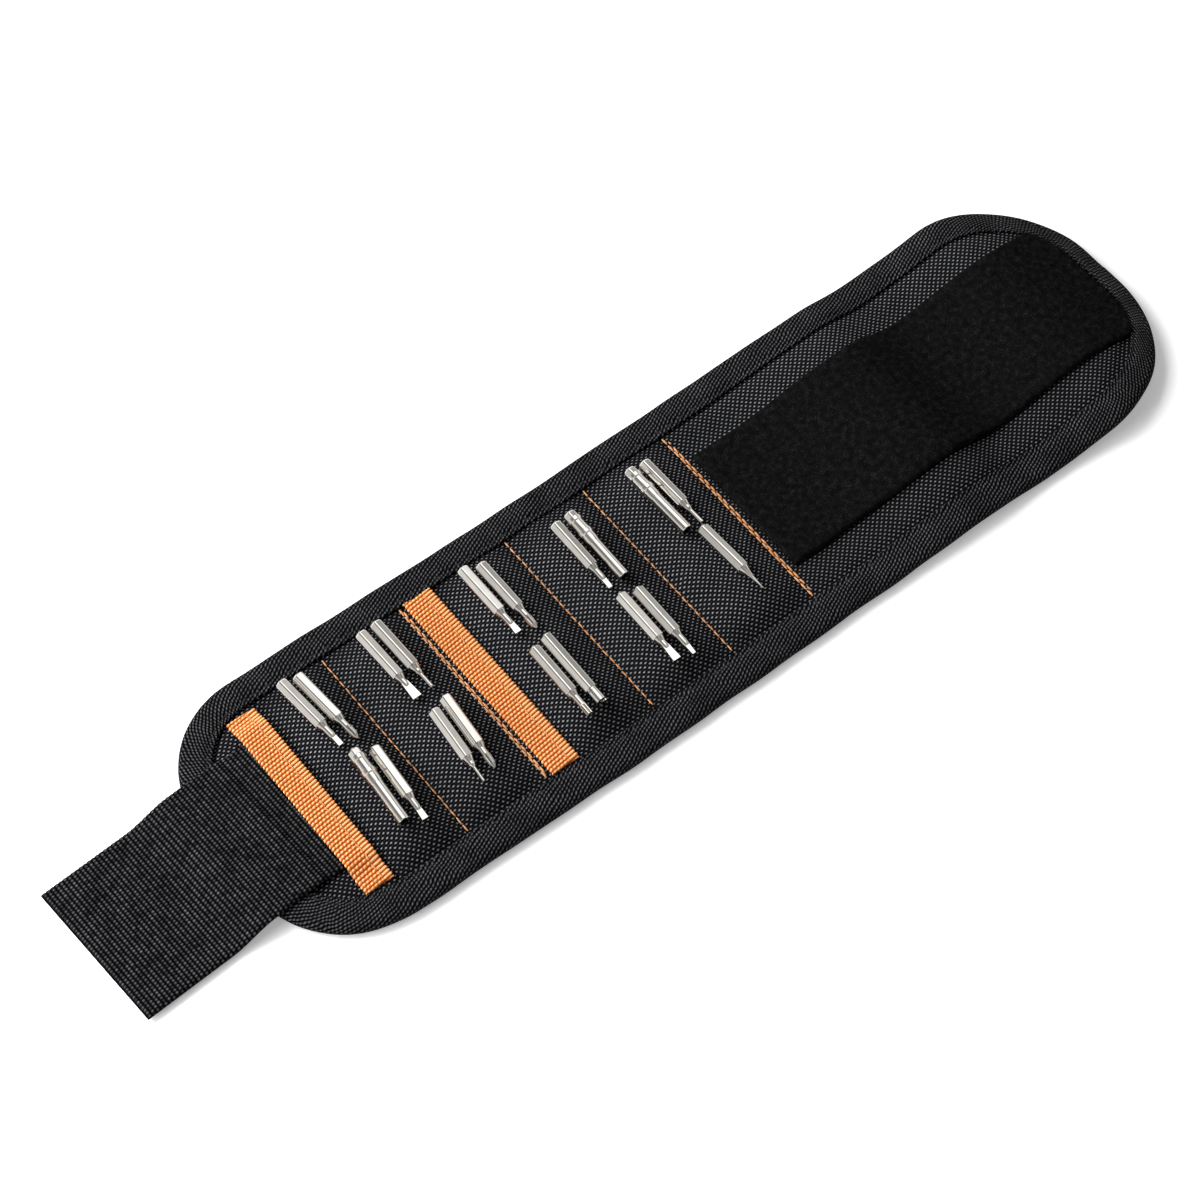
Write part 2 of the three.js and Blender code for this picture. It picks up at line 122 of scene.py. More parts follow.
# %% Where a point lies against the band's edge
def edge_place(x, y):
    """How far along the band's edge a point is, how far inside it, and which way is out."""
    side = abs(y)
    up = 1 if y > 0 else -1
    tail_x, tail_y = TAIL_CENTRE
    far_x, far_y = FAR_CENTRE
    long_start = tail_y + TAIL_CORNER * math.pi / 2
    far_start = long_start + far_x - tail_x
    if x < tail_x and side < tail_y:
        return side, x - BAND_LEFT, Vector((-1, 0, 0))
    if x < tail_x:
        arm = Vector((x - tail_x, up * (side - tail_y), 0))
        turn = math.atan2(side - tail_y, tail_x - x)
        return tail_y + TAIL_CORNER * turn, TAIL_CORNER - arm.length, arm.normalized()
    if x <= far_x:
        return long_start + x - tail_x, HALF_WIDTH - side, Vector((0, up, 0))
    if side < far_y:
        return far_start + FAR_CORNER * math.pi / 2 + far_y - side, BAND_RIGHT - x, Vector((1, 0, 0))
    arm = Vector((x - far_x, up * (side - far_y), 0))
    turn = math.atan2(x - far_x, side - far_y)
    return far_start + FAR_CORNER * turn, FAR_CORNER - arm.length, arm.normalized()


def half_at(x, inset):
    """Half the band's width at x, for the outline drawn in by an inset."""
    ends = ((TAIL_CENTRE, TAIL_CORNER, TAIL_CENTRE[0] - x), (FAR_CENTRE, FAR_CORNER, x - FAR_CENTRE[0]))
    for (_, middle), corner, run in ends:
        if run > 0:
            reach = corner - inset
            return middle + math.sqrt(max(0, reach * reach - run * run))
    return HALF_WIDTH - inset


def ease(share):
    """A smooth step from 0 to 1."""
    share = min(1, max(0, share))
    return share * share * (3 - 2 * share)


def eased_path(knots, x):
    """A height at x on a path that eases from knot to knot and is level beyond them."""
    for (x0, z0), (x1, z1) in zip(knots, knots[1:]):
        if x < x1:
            return z0 + (z1 - z0) * ease((x - x0) / (x1 - x0))
    return knots[-1][1]


# %% [markdown]
# The loop end has no magnets to stiffen it, and its pile is sewn on a little full, so it lies on the
# table in slow waves that are highest in the middle and die away towards the binding. One function
# gives the wave, and the cloth, the pile, the mesh and the binding all add it, so that the layers
# stay together.

# %% The slow waves of the loop end
WAVE_RISE = 5.2 * MM
WAVE_KNOTS = ((SEAM_FOLD + 16 * MM, 0), (SEAM_FOLD + 62 * MM, 1), (SEAM_FOLD + 84 * MM, 0.1),
              (SEAM_FOLD + 120 * MM, 1.05), (BAND_RIGHT, 0.3))
WAVE_FLAT_HALF = 21 * MM
EDGE_SHARE_KNOTS = ((SEAM_FOLD + 84 * MM, 0.3), (SEAM_FOLD + 120 * MM, 0.75))


def loop_wave(x, y):
    """How far the soft loop end stands off the table."""
    outward = ease((abs(y) - WAVE_FLAT_HALF) / (HALF_WIDTH - WAVE_FLAT_HALF))
    at_edge = eased_path(EDGE_SHARE_KNOTS, x)
    return WAVE_RISE * eased_path(WAVE_KNOTS, x) * (1 - (1 - at_edge) * outward)


print("the wave is", round(loop_wave(SEAM_FOLD + 62 * MM, 0) / MM, 2), "mm high at its first crest")

# %% [markdown]
# ## Camera, floor and light
#
# The camera stands where the photograph was taken from: high, over the strap end. The floor is a
# pale plane just under the band. When the band is wrapped, its ends go below the table, so the
# floor follows a mark past the strap's tip and never rises above its own place. The light is a
# large soft lamp behind, another on the left, a weak one in front, and a room with white walls that
# are dimmer in front and above. Only the room shows in the metal bits, so that their flats have even
# tones: those that face the walls are pale, those that face the ceiling are grey, and a window in
# the ceiling gives the turned parts and the rounded edges a bright line.

# %% Camera at the photograph's angle
PHOTO_AZIMUTH = math.radians(-36.745)
PHOTO_ELEVATION = math.radians(57.981)
PHOTO_ROLL = math.radians(-1.2825)
PHOTO_DISTANCE = 1.011598
PHOTO_TARGET = Vector((-0.006876, 0.003735, 0))
PHOTO_LENS = 100.959


def photo_camera():
    """The camera, from the angles, the distance and the lens that fit the photograph."""
    back = Vector((math.sin(PHOTO_AZIMUTH) * math.cos(PHOTO_ELEVATION),
                   -math.cos(PHOTO_AZIMUTH) * math.cos(PHOTO_ELEVATION),
                   math.sin(PHOTO_ELEVATION)))
    level = Vector((math.cos(PHOTO_AZIMUTH), math.sin(PHOTO_AZIMUTH), 0))
    roll = Matrix.Rotation(PHOTO_ROLL, 3, back)
    right = roll @ level
    up = back.cross(right)
    camera = bpy.data.objects.new("photo_camera", bpy.data.cameras.new("photo_camera"))
    bpy.context.scene.collection.objects.link(camera)
    camera.data.lens = PHOTO_LENS
    camera.data.clip_start = 0.01
    place = Matrix((right, up, back)).transposed().to_4x4()
    place.translation = PHOTO_TARGET + back * PHOTO_DISTANCE
    camera.matrix_world = place
    bpy.context.scene.camera = camera
    return camera


camera = photo_camera()
print("camera stands at", [round(c, 3) for c in camera.matrix_world.translation])


# %% Floor that stays under the band
FLOOR_SIZE = 12
FLOOR_GAP = 0.02 * MM
MARK_PAST_TIP = 8 * MM


def pale_floor():
    """A plane that a mark past the strap's tip pushes down, never up."""
    bm = bmesh.new()
    bmesh.ops.create_grid(bm, x_segments=1, y_segments=1, size=FLOOR_SIZE / 2)
    bmesh.ops.translate(bm, vec=(0, 0, -FLOOR_GAP), verts=bm.verts)
    mesh = bpy.data.meshes.new("floor")
    bm.to_mesh(mesh)
    bm.free()
    floor = bpy.data.objects.new("floor", mesh)
    bpy.context.scene.collection.objects.link(floor)
    mark = bpy.data.objects.new("floor_mark", None)
    bpy.context.scene.collection.objects.link(mark)
    mark.location = (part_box("strap_webbing")[0].x - MARK_PAST_TIP, 0, 0)
    mark.parent = frame["bodies"]["tail"]
    follow = floor.constraints.new("COPY_LOCATION")
    follow.target = mark
    follow.use_x = False
    follow.use_y = False
    stop = floor.constraints.new("LIMIT_LOCATION")
    stop.use_max_z = True
    stop.max_z = 0
    return floor


floor = pale_floor()
print("floor of", FLOOR_SIZE, "m")

# %% [markdown]
# Finishes and light are made of shader nodes. The helpers below make and link the nodes, so that the
# rest of the script reads like arithmetic.

# %% Small helpers for shader nodes
def feed(tree, socket, value):
    """Links a value into a socket, or sets it there."""
    if isinstance(value, bpy.types.NodeSocket):
        tree.links.new(value, socket)
    else:
        socket.default_value = value


def reckon(tree, operation, *values):
    """One Math node, as a socket."""
    node = tree.nodes.new("ShaderNodeMath")
    node.operation = operation
    for socket, value in zip(node.inputs, values):
        feed(tree, socket, value)
    return node.outputs[0]


def vector_math(tree, operation, *values):
    """One Vector Math node; a length or a dot product is its Value."""
    node = tree.nodes.new("ShaderNodeVectorMath")
    node.operation = operation
    for socket, value in zip(node.inputs, values):
        feed(tree, socket, value)
    return node.outputs


def split_xyz(tree, vector):
    """The three parts of a vector."""
    node = tree.nodes.new("ShaderNodeSeparateXYZ")
    feed(tree, node.inputs[0], vector)
    return node.outputs


def ranged(tree, value, low, high, start, end):
    """A value that goes from start to end as another goes from low to high."""
    node = tree.nodes.new("ShaderNodeMapRange")
    feed(tree, node.inputs["Value"], value)
    for label, number in (("From Min", low), ("From Max", high), ("To Min", start), ("To Max", end)):
        node.inputs[label].default_value = number
    return node.outputs["Result"]


def clamp(tree, value):
    """A value kept between 0 and 1."""
    return reckon(tree, "MINIMUM", reckon(tree, "MAXIMUM", value, 0), 1)


def vary(tree, value, mask, gain, least):
    """A value made stronger and weaker by a mask, from least to least plus gain."""
    return reckon(tree, "MULTIPLY", value, reckon(tree, "MULTIPLY_ADD", mask, gain, least))


def kept_attribute(tree, name):
    """A value that was kept on the piece's vertices."""
    node = tree.nodes.new("ShaderNodeAttribute")
    node.attribute_name = name
    return node.outputs["Fac"]


def tint(tree, share, low, high):
    """A colour between two others."""
    node = tree.nodes.new("ShaderNodeMix")
    node.data_type = "RGBA"
    feed(tree, node.inputs[0], share)
    feed(tree, node.inputs[6], low)
    feed(tree, node.inputs[7], high)
    return node.outputs[2]


def mottle(tree, vector, scale, detail=2.0):
    """Noise from 0 to 1 at a scale in waves per unit of the vector."""
    node = tree.nodes.new("ShaderNodeTexNoise")
    feed(tree, node.inputs["Vector"], vector)
    node.inputs["Scale"].default_value = scale
    node.inputs["Detail"].default_value = detail
    return node.outputs["Fac"]


def emboss(tree, shader, height, depth):
    """Turns a height from 0 to 1 into bumps of a real depth."""
    bump = tree.nodes.new("ShaderNodeBump")
    bump.inputs["Distance"].default_value = depth
    feed(tree, bump.inputs["Height"], height)
    tree.links.new(bump.outputs["Normal"], shader.inputs["Normal"])


def new_group(name, inputs, outputs):
    """An empty node group with named sockets."""
    group = bpy.data.node_groups.new(name, "ShaderNodeTree")
    for label, kind in inputs:
        group.interface.new_socket(label, in_out="INPUT", socket_type="NodeSocket" + kind)
    for label, kind in outputs:
        group.interface.new_socket(label, in_out="OUTPUT", socket_type="NodeSocket" + kind)
    given = group.nodes.new("NodeGroupInput").outputs
    made = group.nodes.new("NodeGroupOutput").inputs
    return group, given, made


def place_group(tree, group, **values):
    """A group in a material, with its inputs set; underscores stand for spaces."""
    node = tree.nodes.new("ShaderNodeGroup")
    node.node_tree = group
    for label, value in values.items():
        feed(tree, node.inputs[label.replace("_", " ")], value)
    return node.outputs


print("node helpers ready")

# %% Floor paint that stays white far from the lamps
FLOOR_COLOUR = (0.95, 0.95, 0.95, 1)
FLOOR_GLOW = (0.3, 1.0)
GLOW_REACH = (0.6, 2.2)
floor_paint = bpy.data.materials.new("floor_paint")
floor_paint.use_nodes = True
floor_tree = floor_paint.node_tree
floor_shader = floor_tree.nodes["Principled BSDF"]
floor_shader.inputs["Base Color"].default_value = FLOOR_COLOUR
floor_shader.inputs["Roughness"].default_value = 0.9
floor_shader.inputs["Specular IOR Level"].default_value = 0.0
floor_shader.inputs["Emission Color"].default_value = (1, 1, 1, 1)
floor_place = floor_tree.nodes.new("ShaderNodeTexCoord").outputs["Object"]
floor_far = vector_math(floor_tree, "LENGTH", floor_place)["Value"]
floor_glow = ranged(floor_tree, floor_far, *GLOW_REACH, *FLOOR_GLOW)
floor_ray = floor_tree.nodes.new("ShaderNodeLightPath").outputs["Is Camera Ray"]
floor_seen = reckon(floor_tree, "MULTIPLY", floor_ray, floor_glow)
feed(floor_tree, floor_shader.inputs["Emission Strength"], floor_seen)
floor.data.materials.append(floor_paint)
print("floor glows", FLOOR_GLOW, "for the camera only")

# %% Soft lamps
LAMPS = {
    "key_lamp": ((-0.65, 0.95, 1.15), 1.0, 28.0),
    "left_lamp": ((-1.2, 0.4, 0.75), 1.2, 21.0),
    "fill_lamp": ((-0.2, -1.2, 0.9), 0.9, 0.8),
}


def soft_lamp(name, place, size, power):
    """A square lamp that faces the band and isn't seen itself."""
    lamp = bpy.data.lights.new(name, "AREA")
    lamp.shape = "SQUARE"
    lamp.size = size
    lamp.energy = power
    piece = bpy.data.objects.new(name, lamp)
    bpy.context.scene.collection.objects.link(piece)
    piece.location = place
    piece.visible_camera = False
    piece.visible_glossy = False
    piece.rotation_mode = "QUATERNION"
    piece.rotation_quaternion = (-Vector(place)).to_track_quat("-Z", "Y")
    return piece


for name, (place, size, power) in LAMPS.items():
    soft_lamp(name, place, size, power)
print("lamps:", ", ".join(LAMPS))

# %% [markdown]
# The room is the world's background, and different rays may see it differently. What lights the
# cloth is dimmer in front and above. What shows in the metal also has a window and a paler patch
# straight above. The camera itself sees plain white.

# %% How bright the room is in each direction
ROOM_LIGHT = 0.68
CEILING_SHARE = 0.26
FRONT_SHARE = 0.35
WINDOW_WAY = Vector((0.28, 0.43, 0.85)).normalized()
WINDOW_LIGHT = 1.7
WINDOW_EDGE = (0.905, 0.965)
ZENITH_LIGHT = 0.4
room = bpy.data.worlds.new("white_room")
bpy.context.scene.world = room
room.use_nodes = True
room_tree = room.node_tree
room_tree.nodes.clear()
room_way = room_tree.nodes.new("ShaderNodeTexCoord").outputs["Generated"]
room_split = split_xyz(room_tree, room_way)
room_up = ranged(room_tree, room_split["Z"], 0.22, 0.68, 1, CEILING_SHARE)
room_top = ranged(room_tree, room_split["Z"], 0.8, 1, 0, ZENITH_LIGHT)
room_back = ranged(room_tree, room_split["Y"], -0.6, 0.3, FRONT_SHARE, 1)
room_facing = vector_math(room_tree, "DOT_PRODUCT", room_way, WINDOW_WAY)["Value"]
room_window = ranged(room_tree, room_facing, *WINDOW_EDGE, 0, WINDOW_LIGHT)
print("the room is brightest at its walls and", CEILING_SHARE, "as bright above")


# %% Which rays see which room
def room_layer(brightness, strength):
    """One background of the room."""
    node = room_tree.nodes.new("ShaderNodeBackground")
    feed(room_tree, node.inputs["Color"], brightness)
    node.inputs["Strength"].default_value = strength
    return node.outputs[0]


def room_choice(share, first, second):
    """The second background for the rays that share picks out, the first for the rest."""
    node = room_tree.nodes.new("ShaderNodeMixShader")
    for socket, value in zip(node.inputs, (share, first, second)):
        feed(room_tree, socket, value)
    return node.outputs[0]


room_ray = room_tree.nodes.new("ShaderNodeLightPath").outputs
room_lit = room_layer(reckon(room_tree, "MULTIPLY", room_up, room_back), ROOM_LIGHT)
room_ceiling = reckon(room_tree, "ADD", room_up, room_top)
room_mirrored = room_layer(reckon(room_tree, "ADD", room_ceiling, room_window), 1)
room_plain = room_layer((1, 1, 1, 1), 1)
room_soft = room_choice(room_ray["Is Glossy Ray"], room_lit, room_mirrored)
room_all = room_choice(room_ray["Is Camera Ray"], room_soft, room_plain)
room_out = room_tree.nodes.new("ShaderNodeOutputWorld")
feed(room_tree, room_out.inputs["Surface"], room_all)
bpy.context.scene.view_settings.view_transform = "Standard"
print("room of", len(room_tree.nodes), "nodes")

# %% [markdown]
# ## Weave, shade and twist
#
# Nearly everything here is woven. A plain weave is two sets of yarns that go over and under each
# other, and that can be worked out from two numbers across the cloth. It could be painted as an
# image, but a formula stays sharp at any distance and every cloth can have its own pitch. So the
# weave is one node group, and each material places it with its own yarn sizes. The UV map of every
# cloth piece is laid in millimetres, so the pitches below are real ones.

# %% The woven yarns
def yarn_height(tree, across, along, beat):
    """Yarns that are round across and rise and fall along; beat says which set starts on top."""
    centred = reckon(tree, "SUBTRACT", reckon(tree, "FRACT", across), 0.5)
    rounded = reckon(tree, "SUBTRACT", 1, reckon(tree, "MULTIPLY", 4, reckon(tree, "POWER", centred, 2)))
    step = reckon(tree, "ADD", reckon(tree, "FLOOR", across), reckon(tree, "SUBTRACT", along, 0.5))
    swing = reckon(tree, "COSINE", reckon(tree, "MULTIPLY", step, math.pi))
    lift = reckon(tree, "MULTIPLY_ADD", swing, 0.45 * beat, 0.55)
    return reckon(tree, "MULTIPLY", rounded, lift)


def woven_yarns_group():
    """A plain weave: the height of its yarns, and which set lies over the other."""
    group, given, made = new_group(
        "woven_yarns",
        (("Vector", "Vector"), ("Warp pitch", "Float"), ("Weft pitch", "Float"), ("Wander", "Float")),
        (("Height", "Float"), ("Over", "Float")))
    drift = group.nodes.new("ShaderNodeTexNoise")
    drift.inputs["Scale"].default_value = 0.12
    feed(group, drift.inputs["Vector"], given["Vector"])
    centred = vector_math(group, "SUBTRACT", drift.outputs["Color"], (0.5, 0.5, 0.5))[0]
    moved = vector_math(group, "MULTIPLY_ADD", centred, given["Wander"], given["Vector"])[0]
    split = split_xyz(group, moved)
    first = reckon(group, "DIVIDE", split["X"], given["Warp pitch"])
    second = reckon(group, "DIVIDE", split["Y"], given["Weft pitch"])
    warp = yarn_height(group, first, second, 1)
    weft = yarn_height(group, second, first, -1)
    group.links.new(reckon(group, "MAXIMUM", warp, weft), made["Height"])
    over = reckon(group, "MULTIPLY_ADD", reckon(group, "SUBTRACT", warp, weft), 3, 0.5)
    group.links.new(clamp(group, over), made["Over"])
    return group


WOVEN_YARNS = woven_yarns_group()
print("weave group with", len(WOVEN_YARNS.nodes), "nodes")

# %% [markdown]
# Binding tape is a twill: rows of yarn crowns run across it at a slant, and faint ribs cross the rows.
# Sewing pulls the tape this way and that, so the rows sway.

# %% The slanting rows of a twill
def ridge(tree, count):
    """A row of round ridges, one at each whole number of a count."""
    return reckon(tree, "ABSOLUTE", reckon(tree, "COSINE", reckon(tree, "MULTIPLY", count, math.pi)))


def ribbed_lines_group():
    """Swaying rows at a slant, broken into dots by faint ribs."""
    group, given, made = new_group(
        "ribbed_lines",
        (("Vector", "Vector"), ("Rib pitch", "Float"), ("Row pitch", "Float"), ("Slant", "Float")),
        (("Height", "Float"), ("Line", "Float")))
    split = split_xyz(group, given["Vector"])
    sway = reckon(group, "MULTIPLY", mottle(group, given["Vector"], 0.16, 2), 1.6)
    count = reckon(group, "ADD", reckon(group, "DIVIDE", split["X"], given["Rib pitch"]), sway)
    rib = ridge(group, count)
    leant = reckon(group, "MULTIPLY_ADD", split["X"], given["Slant"], split["Y"])
    order = reckon(group, "SUBTRACT", reckon(group, "DIVIDE", leant, given["Row pitch"]), sway)
    row = ridge(group, order)
    group.links.new(vary(group, row, rib, 0.4, 0.6), made["Height"])
    crest = reckon(group, "POWER", row, 4)
    spot = reckon(group, "POWER", rib, 3)
    group.links.new(vary(group, crest, spot, 0.9, 0.1), made["Line"])
    return group


RIBBED_LINES = ribbed_lines_group()
print("ribbed group with", len(RIBBED_LINES.nodes), "nodes")

# %% [markdown]
# Black cloth is never one black. Yarns differ a little, handling leaves paler patches, and fine lint
# sits on top. One more group gives those two masks to the woven cloths. Thread gets a group for its
# twist.

# %% Handling and lint
def cloth_handling_group():
    """Soft patches and sharp little specks."""
    group, given, made = new_group(
        "cloth_handling",
        (("Vector", "Vector"), ("Patch size", "Float")),
        (("Patch", "Float"), ("Lint", "Float")))
    shrunk = vector_math(group, "DIVIDE", given["Vector"], given["Patch size"])[0]
    group.links.new(mottle(group, shrunk, 1.0, 3), made["Patch"])
    fine = mottle(group, given["Vector"], 1.7, 1)
    lint = reckon(group, "MULTIPLY", reckon(group, "SUBTRACT", fine, 0.74), 9)
    group.links.new(clamp(group, lint), made["Lint"])
    return group


CLOTH_HANDLING = cloth_handling_group()


def thread_twist_group():
    """Slanting plies along a thread, from its own UV map."""
    group, given, made = new_group(
        "thread_twist",
        (("Vector", "Vector"), ("Ply pitch", "Float")),
        (("Height", "Float"), ("Shade", "Float")))
    split = split_xyz(group, given["Vector"])
    slant = reckon(group, "ADD", split["Y"], split["X"])
    turn = reckon(group, "DIVIDE", slant, given["Ply pitch"])
    wave = reckon(group, "SINE", reckon(group, "MULTIPLY", turn, 2 * math.pi))
    group.links.new(reckon(group, "MULTIPLY_ADD", wave, 0.5, 0.5), made["Height"])
    group.links.new(mottle(group, given["Vector"], 0.8, 1), made["Shade"])
    return group


THREAD_TWIST = thread_twist_group()
print("handling and twist groups ready")

# %% [markdown]
# ## The finishes
#
# Each finish below is a Principled shader that the groups or plain noise feed. The colours were judged
# against the photograph: the cloth reads as rows of grey dots on black because only the crowns of the
# yarns catch the light, so the yarn colour is laid over the gap colour by the yarn's height, as a painted
# highlight.
# Painted shade darkens a cover towards its pocket's two ends by the binding. It also darkens the flat
# cloth at the band's two ends, a little on its upper half and more on its lower half.

# %% Woven finishes
def new_finish(name, roughness, specular):
    """A new material, its tree, its shader and the UV coordinates for it."""
    material = bpy.data.materials.new(name)
    material.use_nodes = True
    tree = material.node_tree
    shader = tree.nodes["Principled BSDF"]
    shader.inputs["Roughness"].default_value = roughness
    shader.inputs["Specular IOR Level"].default_value = specular
    surface = tree.nodes.new("ShaderNodeTexCoord")
    return material, tree, shader, surface.outputs["UV"]


def cloth_groups(tree, uv, warp, weft, wander, patch):
    """The weave and the handling, as a cloth places them."""
    weave = place_group(tree, WOVEN_YARNS, Vector=uv, Warp_pitch=warp, Weft_pitch=weft, Wander=wander)
    return weave, place_group(tree, CLOTH_HANDLING, Vector=uv, Patch_size=patch)


def woven_finish(name, pitches, gap, yarn, depth, roughness, specular, under=0.3, wander=0.25):
    """A plain weave: the yarn colour on the crowns as a painted highlight, the gap colour between them.
    """
    material, tree, shader, uv = new_finish(name, roughness, specular)
    weave, handled = cloth_groups(tree, uv, *pitches, wander, 14)
    # Painted highlight: the yarn colour shows only on the highest crowns, less on the yarns that lie
    # under.
    crown = reckon(tree, "POWER", weave["Height"], 4.5)
    crown_highlight = vary(tree, crown, weave["Over"], 1 - under, under)
    # Painted shade: the kept attribute darkens the cloth by up to 45 percent.
    shade_factor = reckon(tree, "MULTIPLY_ADD", kept_attribute(tree, "tight"), -0.45, 1)
    shade_and_patches = vary(tree, shade_factor, handled["Patch"], 0.8, 0.6)
    # Painted highlight, times painted shade and the handling patches.
    colour_share = reckon(tree, "MULTIPLY", crown_highlight, shade_and_patches)
    colour = tint(tree, colour_share, gap, yarn)
    lint_share = reckon(tree, "MULTIPLY", handled["Lint"], 0.18)
    lint = tuple(min(1, 2 * part) for part in yarn[:3]) + (1,)
    feed(tree, shader.inputs["Base Color"], tint(tree, lint_share, colour, lint))
    rough = reckon(tree, "MULTIPLY_ADD", crown_highlight, -0.2, roughness)
    feed(tree, shader.inputs["Roughness"], rough)
    emboss(tree, shader, weave["Height"], depth)
    return material


def ribbed_finish(name, pitches, slant, gap, yarn, depth):
    """A twill tape: pale dotted rows at a slant, black between them."""
    material, tree, shader, uv = new_finish(name, 0.65, 0.0)
    ribs = place_group(tree, RIBBED_LINES, Vector=uv, Rib_pitch=pitches[0], Row_pitch=pitches[1],
                       Slant=slant)
    handled = place_group(tree, CLOTH_HANDLING, Vector=uv, Patch_size=9)
    colour_share = vary(tree, ribs["Line"], handled["Patch"], 1.6, 0.2)
    feed(tree, shader.inputs["Base Color"], tint(tree, colour_share, gap, yarn))
    emboss(tree, shader, ribs["Height"], depth)
    return material


NEAR_BLACK = (0.0015, 0.0015, 0.002, 1)
# The nylon's grey yarn colour is a painted highlight on black yarn crowns.
BALLISTIC = woven_finish("ballistic_nylon", (0.94, 0.96), NEAR_BLACK, (0.36, 0.364, 0.384, 1),
                         0.2 * MM, 0.6, 0.0, under=0.06)
BINDING = ribbed_finish("binding_tape", (1.19, 1.2), 0.5, NEAR_BLACK, (0.128, 0.128, 0.134, 1), 0.25 * MM)
print("woven finishes:", BALLISTIC.name, BINDING.name)


# %% Heavy webbing
def webbing_finish():
    """The strap's ribs are modelled, so the finish only shades them by their lines."""
    material, tree, shader, uv = new_finish("strap_webbing", 0.65, 0.0)
    fibre, handled = cloth_groups(tree, uv, 0.3, 0.35, 0.1, 10)
    spun = vary(tree, kept_attribute(tree, "rib"), fibre["Height"], 0.4, 0.6)
    colour_share = vary(tree, spun, handled["Patch"], 1.2, 0.4)
    feed(tree, shader.inputs["Base Color"], tint(tree, colour_share, NEAR_BLACK, (0.21, 0.21, 0.218, 1)))
    emboss(tree, shader, fibre["Height"], 0.06 * MM)
    return material


WEBBING = webbing_finish()
print("webbing shades its ribs")


# %% Orange tape and threads
# The gap colour is painted shade and the pale colour a painted highlight; the yarn colour is the tape's
# own orange.
ORANGE_SHADED_GAP = (0.38, 0.045, 0.003, 1)
ORANGE_YARN = (1.0, 0.37, 0.085, 1)
ORANGE_HIGHLIGHT = (1.0, 0.80, 0.44, 1)


def orange_finish():
    """Spun yarn laid across the tape, so the fine fibres run with the ribs."""
    material, tree, shader, uv = new_finish("orange_tape", 0.55, 0.35)
    weave, handled = cloth_groups(tree, uv, 0.42, 0.36, 0.1, 5)
    height = kept_attribute(tree, "rib")
    # Painted shade: the low parts of the ribs and beads take the dark gap colour.
    steep = reckon(tree, "MULTIPLY", reckon(tree, "SUBTRACT", height, 0.25), 2.2)
    spun = vary(tree, clamp(tree, steep), weave["Height"], 0.2, 0.8)
    colour = tint(tree, spun, ORANGE_SHADED_GAP, ORANGE_YARN)
    # Painted highlight: the highest crowns turn pale.
    pale = vary(tree, reckon(tree, "POWER", height, 6), handled["Patch"], 1.0, 0.4)
    feed(tree, shader.inputs["Base Color"], tint(tree, pale, colour, ORANGE_HIGHLIGHT))
    emboss(tree, shader, weave["Height"], 0.05 * MM)
    return material


def thread_finish(name, dark, light, ply):
    """A twisted sewing thread: the light colour on its plies is a painted highlight, the dark one between
    them painted shade.
    """
    material, tree, shader, uv = new_finish(name, 0.5, 0.4)
    twist = place_group(tree, THREAD_TWIST, Vector=uv, Ply_pitch=ply)
    # Painted highlight on the plies' crowns, painted shade in their grooves.
    share = vary(tree, twist["Height"], twist["Shade"], 0.6, 0.6)
    feed(tree, shader.inputs["Base Color"], tint(tree, share, dark, light))
    emboss(tree, shader, twist["Height"], 0.08 * MM)
    return material


ORANGE = orange_finish()
ORANGE_THREAD = thread_finish("orange_thread", (0.5, 0.11, 0.02, 1), (1.0, 0.62, 0.3, 1), 0.55)
BLACK_THREAD = thread_finish("black_thread", (0.004, 0.004, 0.005, 1), (0.045, 0.045, 0.05, 1), 0.55)
print("orange finishes ready")


# %% Pile, mesh, hook and metal
def pile_finish():
    """Brushed loops: almost black, with a fine speckle where loops catch light."""
    material, tree, shader, uv = new_finish("loop_pile", 0.95, 0.0)
    curl = mottle(tree, uv, 2.6, 4)
    clump = mottle(tree, uv, 0.5, 2)
    speck = reckon(tree, "POWER", reckon(tree, "MULTIPLY", curl, reckon(tree, "ADD", clump, 0.5)), 4)
    colour = tint(tree, speck, (0.0022, 0.0022, 0.0026, 1), (0.075, 0.072, 0.069, 1))
    feed(tree, shader.inputs["Base Color"], colour)
    emboss(tree, shader, curl, 0.5 * MM)
    return material


def mesh_finish():
    """Spacer mesh: rows of round holes in a knitted face."""
    material, tree, shader, uv = new_finish("air_mesh", 0.75, 0.08)
    cells = tree.nodes.new("ShaderNodeTexVoronoi")
    cells.inputs["Scale"].default_value = 0.42
    cells.inputs["Randomness"].default_value = 0.0
    skew = tree.nodes.new("ShaderNodeMapping")
    skew.inputs["Rotation"].default_value = (0, 0, math.radians(45))
    feed(tree, skew.inputs["Vector"], uv)
    feed(tree, cells.inputs["Vector"], skew.outputs["Vector"])
    rim = reckon(tree, "MULTIPLY", reckon(tree, "SUBTRACT", cells.outputs["Distance"], 0.25), 5)
    wall = clamp(tree, rim)
    knit, handled = cloth_groups(tree, uv, 0.45, 0.6, 0.3, 16)
    face = vary(tree, wall, knit["Height"], 0.6, 0.4)
    colour_share = vary(tree, face, handled["Patch"], 0.8, 0.6)
    colour = tint(tree, colour_share, (0.003, 0.003, 0.004, 1), (0.06, 0.06, 0.064, 1))
    feed(tree, shader.inputs["Base Color"], colour)
    height = reckon(tree, "MULTIPLY_ADD", wall, 0.8, reckon(tree, "MULTIPLY", face, 0.2))
    emboss(tree, shader, height, 0.6 * MM)
    return material


def hook_finish():
    """Moulded hooks on a woven ground."""
    material, tree, shader, uv = new_finish("hook_tape", 0.5, 0.2)
    weave, handled = cloth_groups(tree, uv, 0.5, 0.5, 0.1, 9)
    share = reckon(tree, "MULTIPLY", weave["Height"], handled["Patch"])
    colour = tint(tree, share, (0.006, 0.006, 0.007, 1), (0.05, 0.05, 0.053, 1))
    feed(tree, shader.inputs["Base Color"], colour)
    emboss(tree, shader, weave["Height"], 0.06 * MM)
    return material


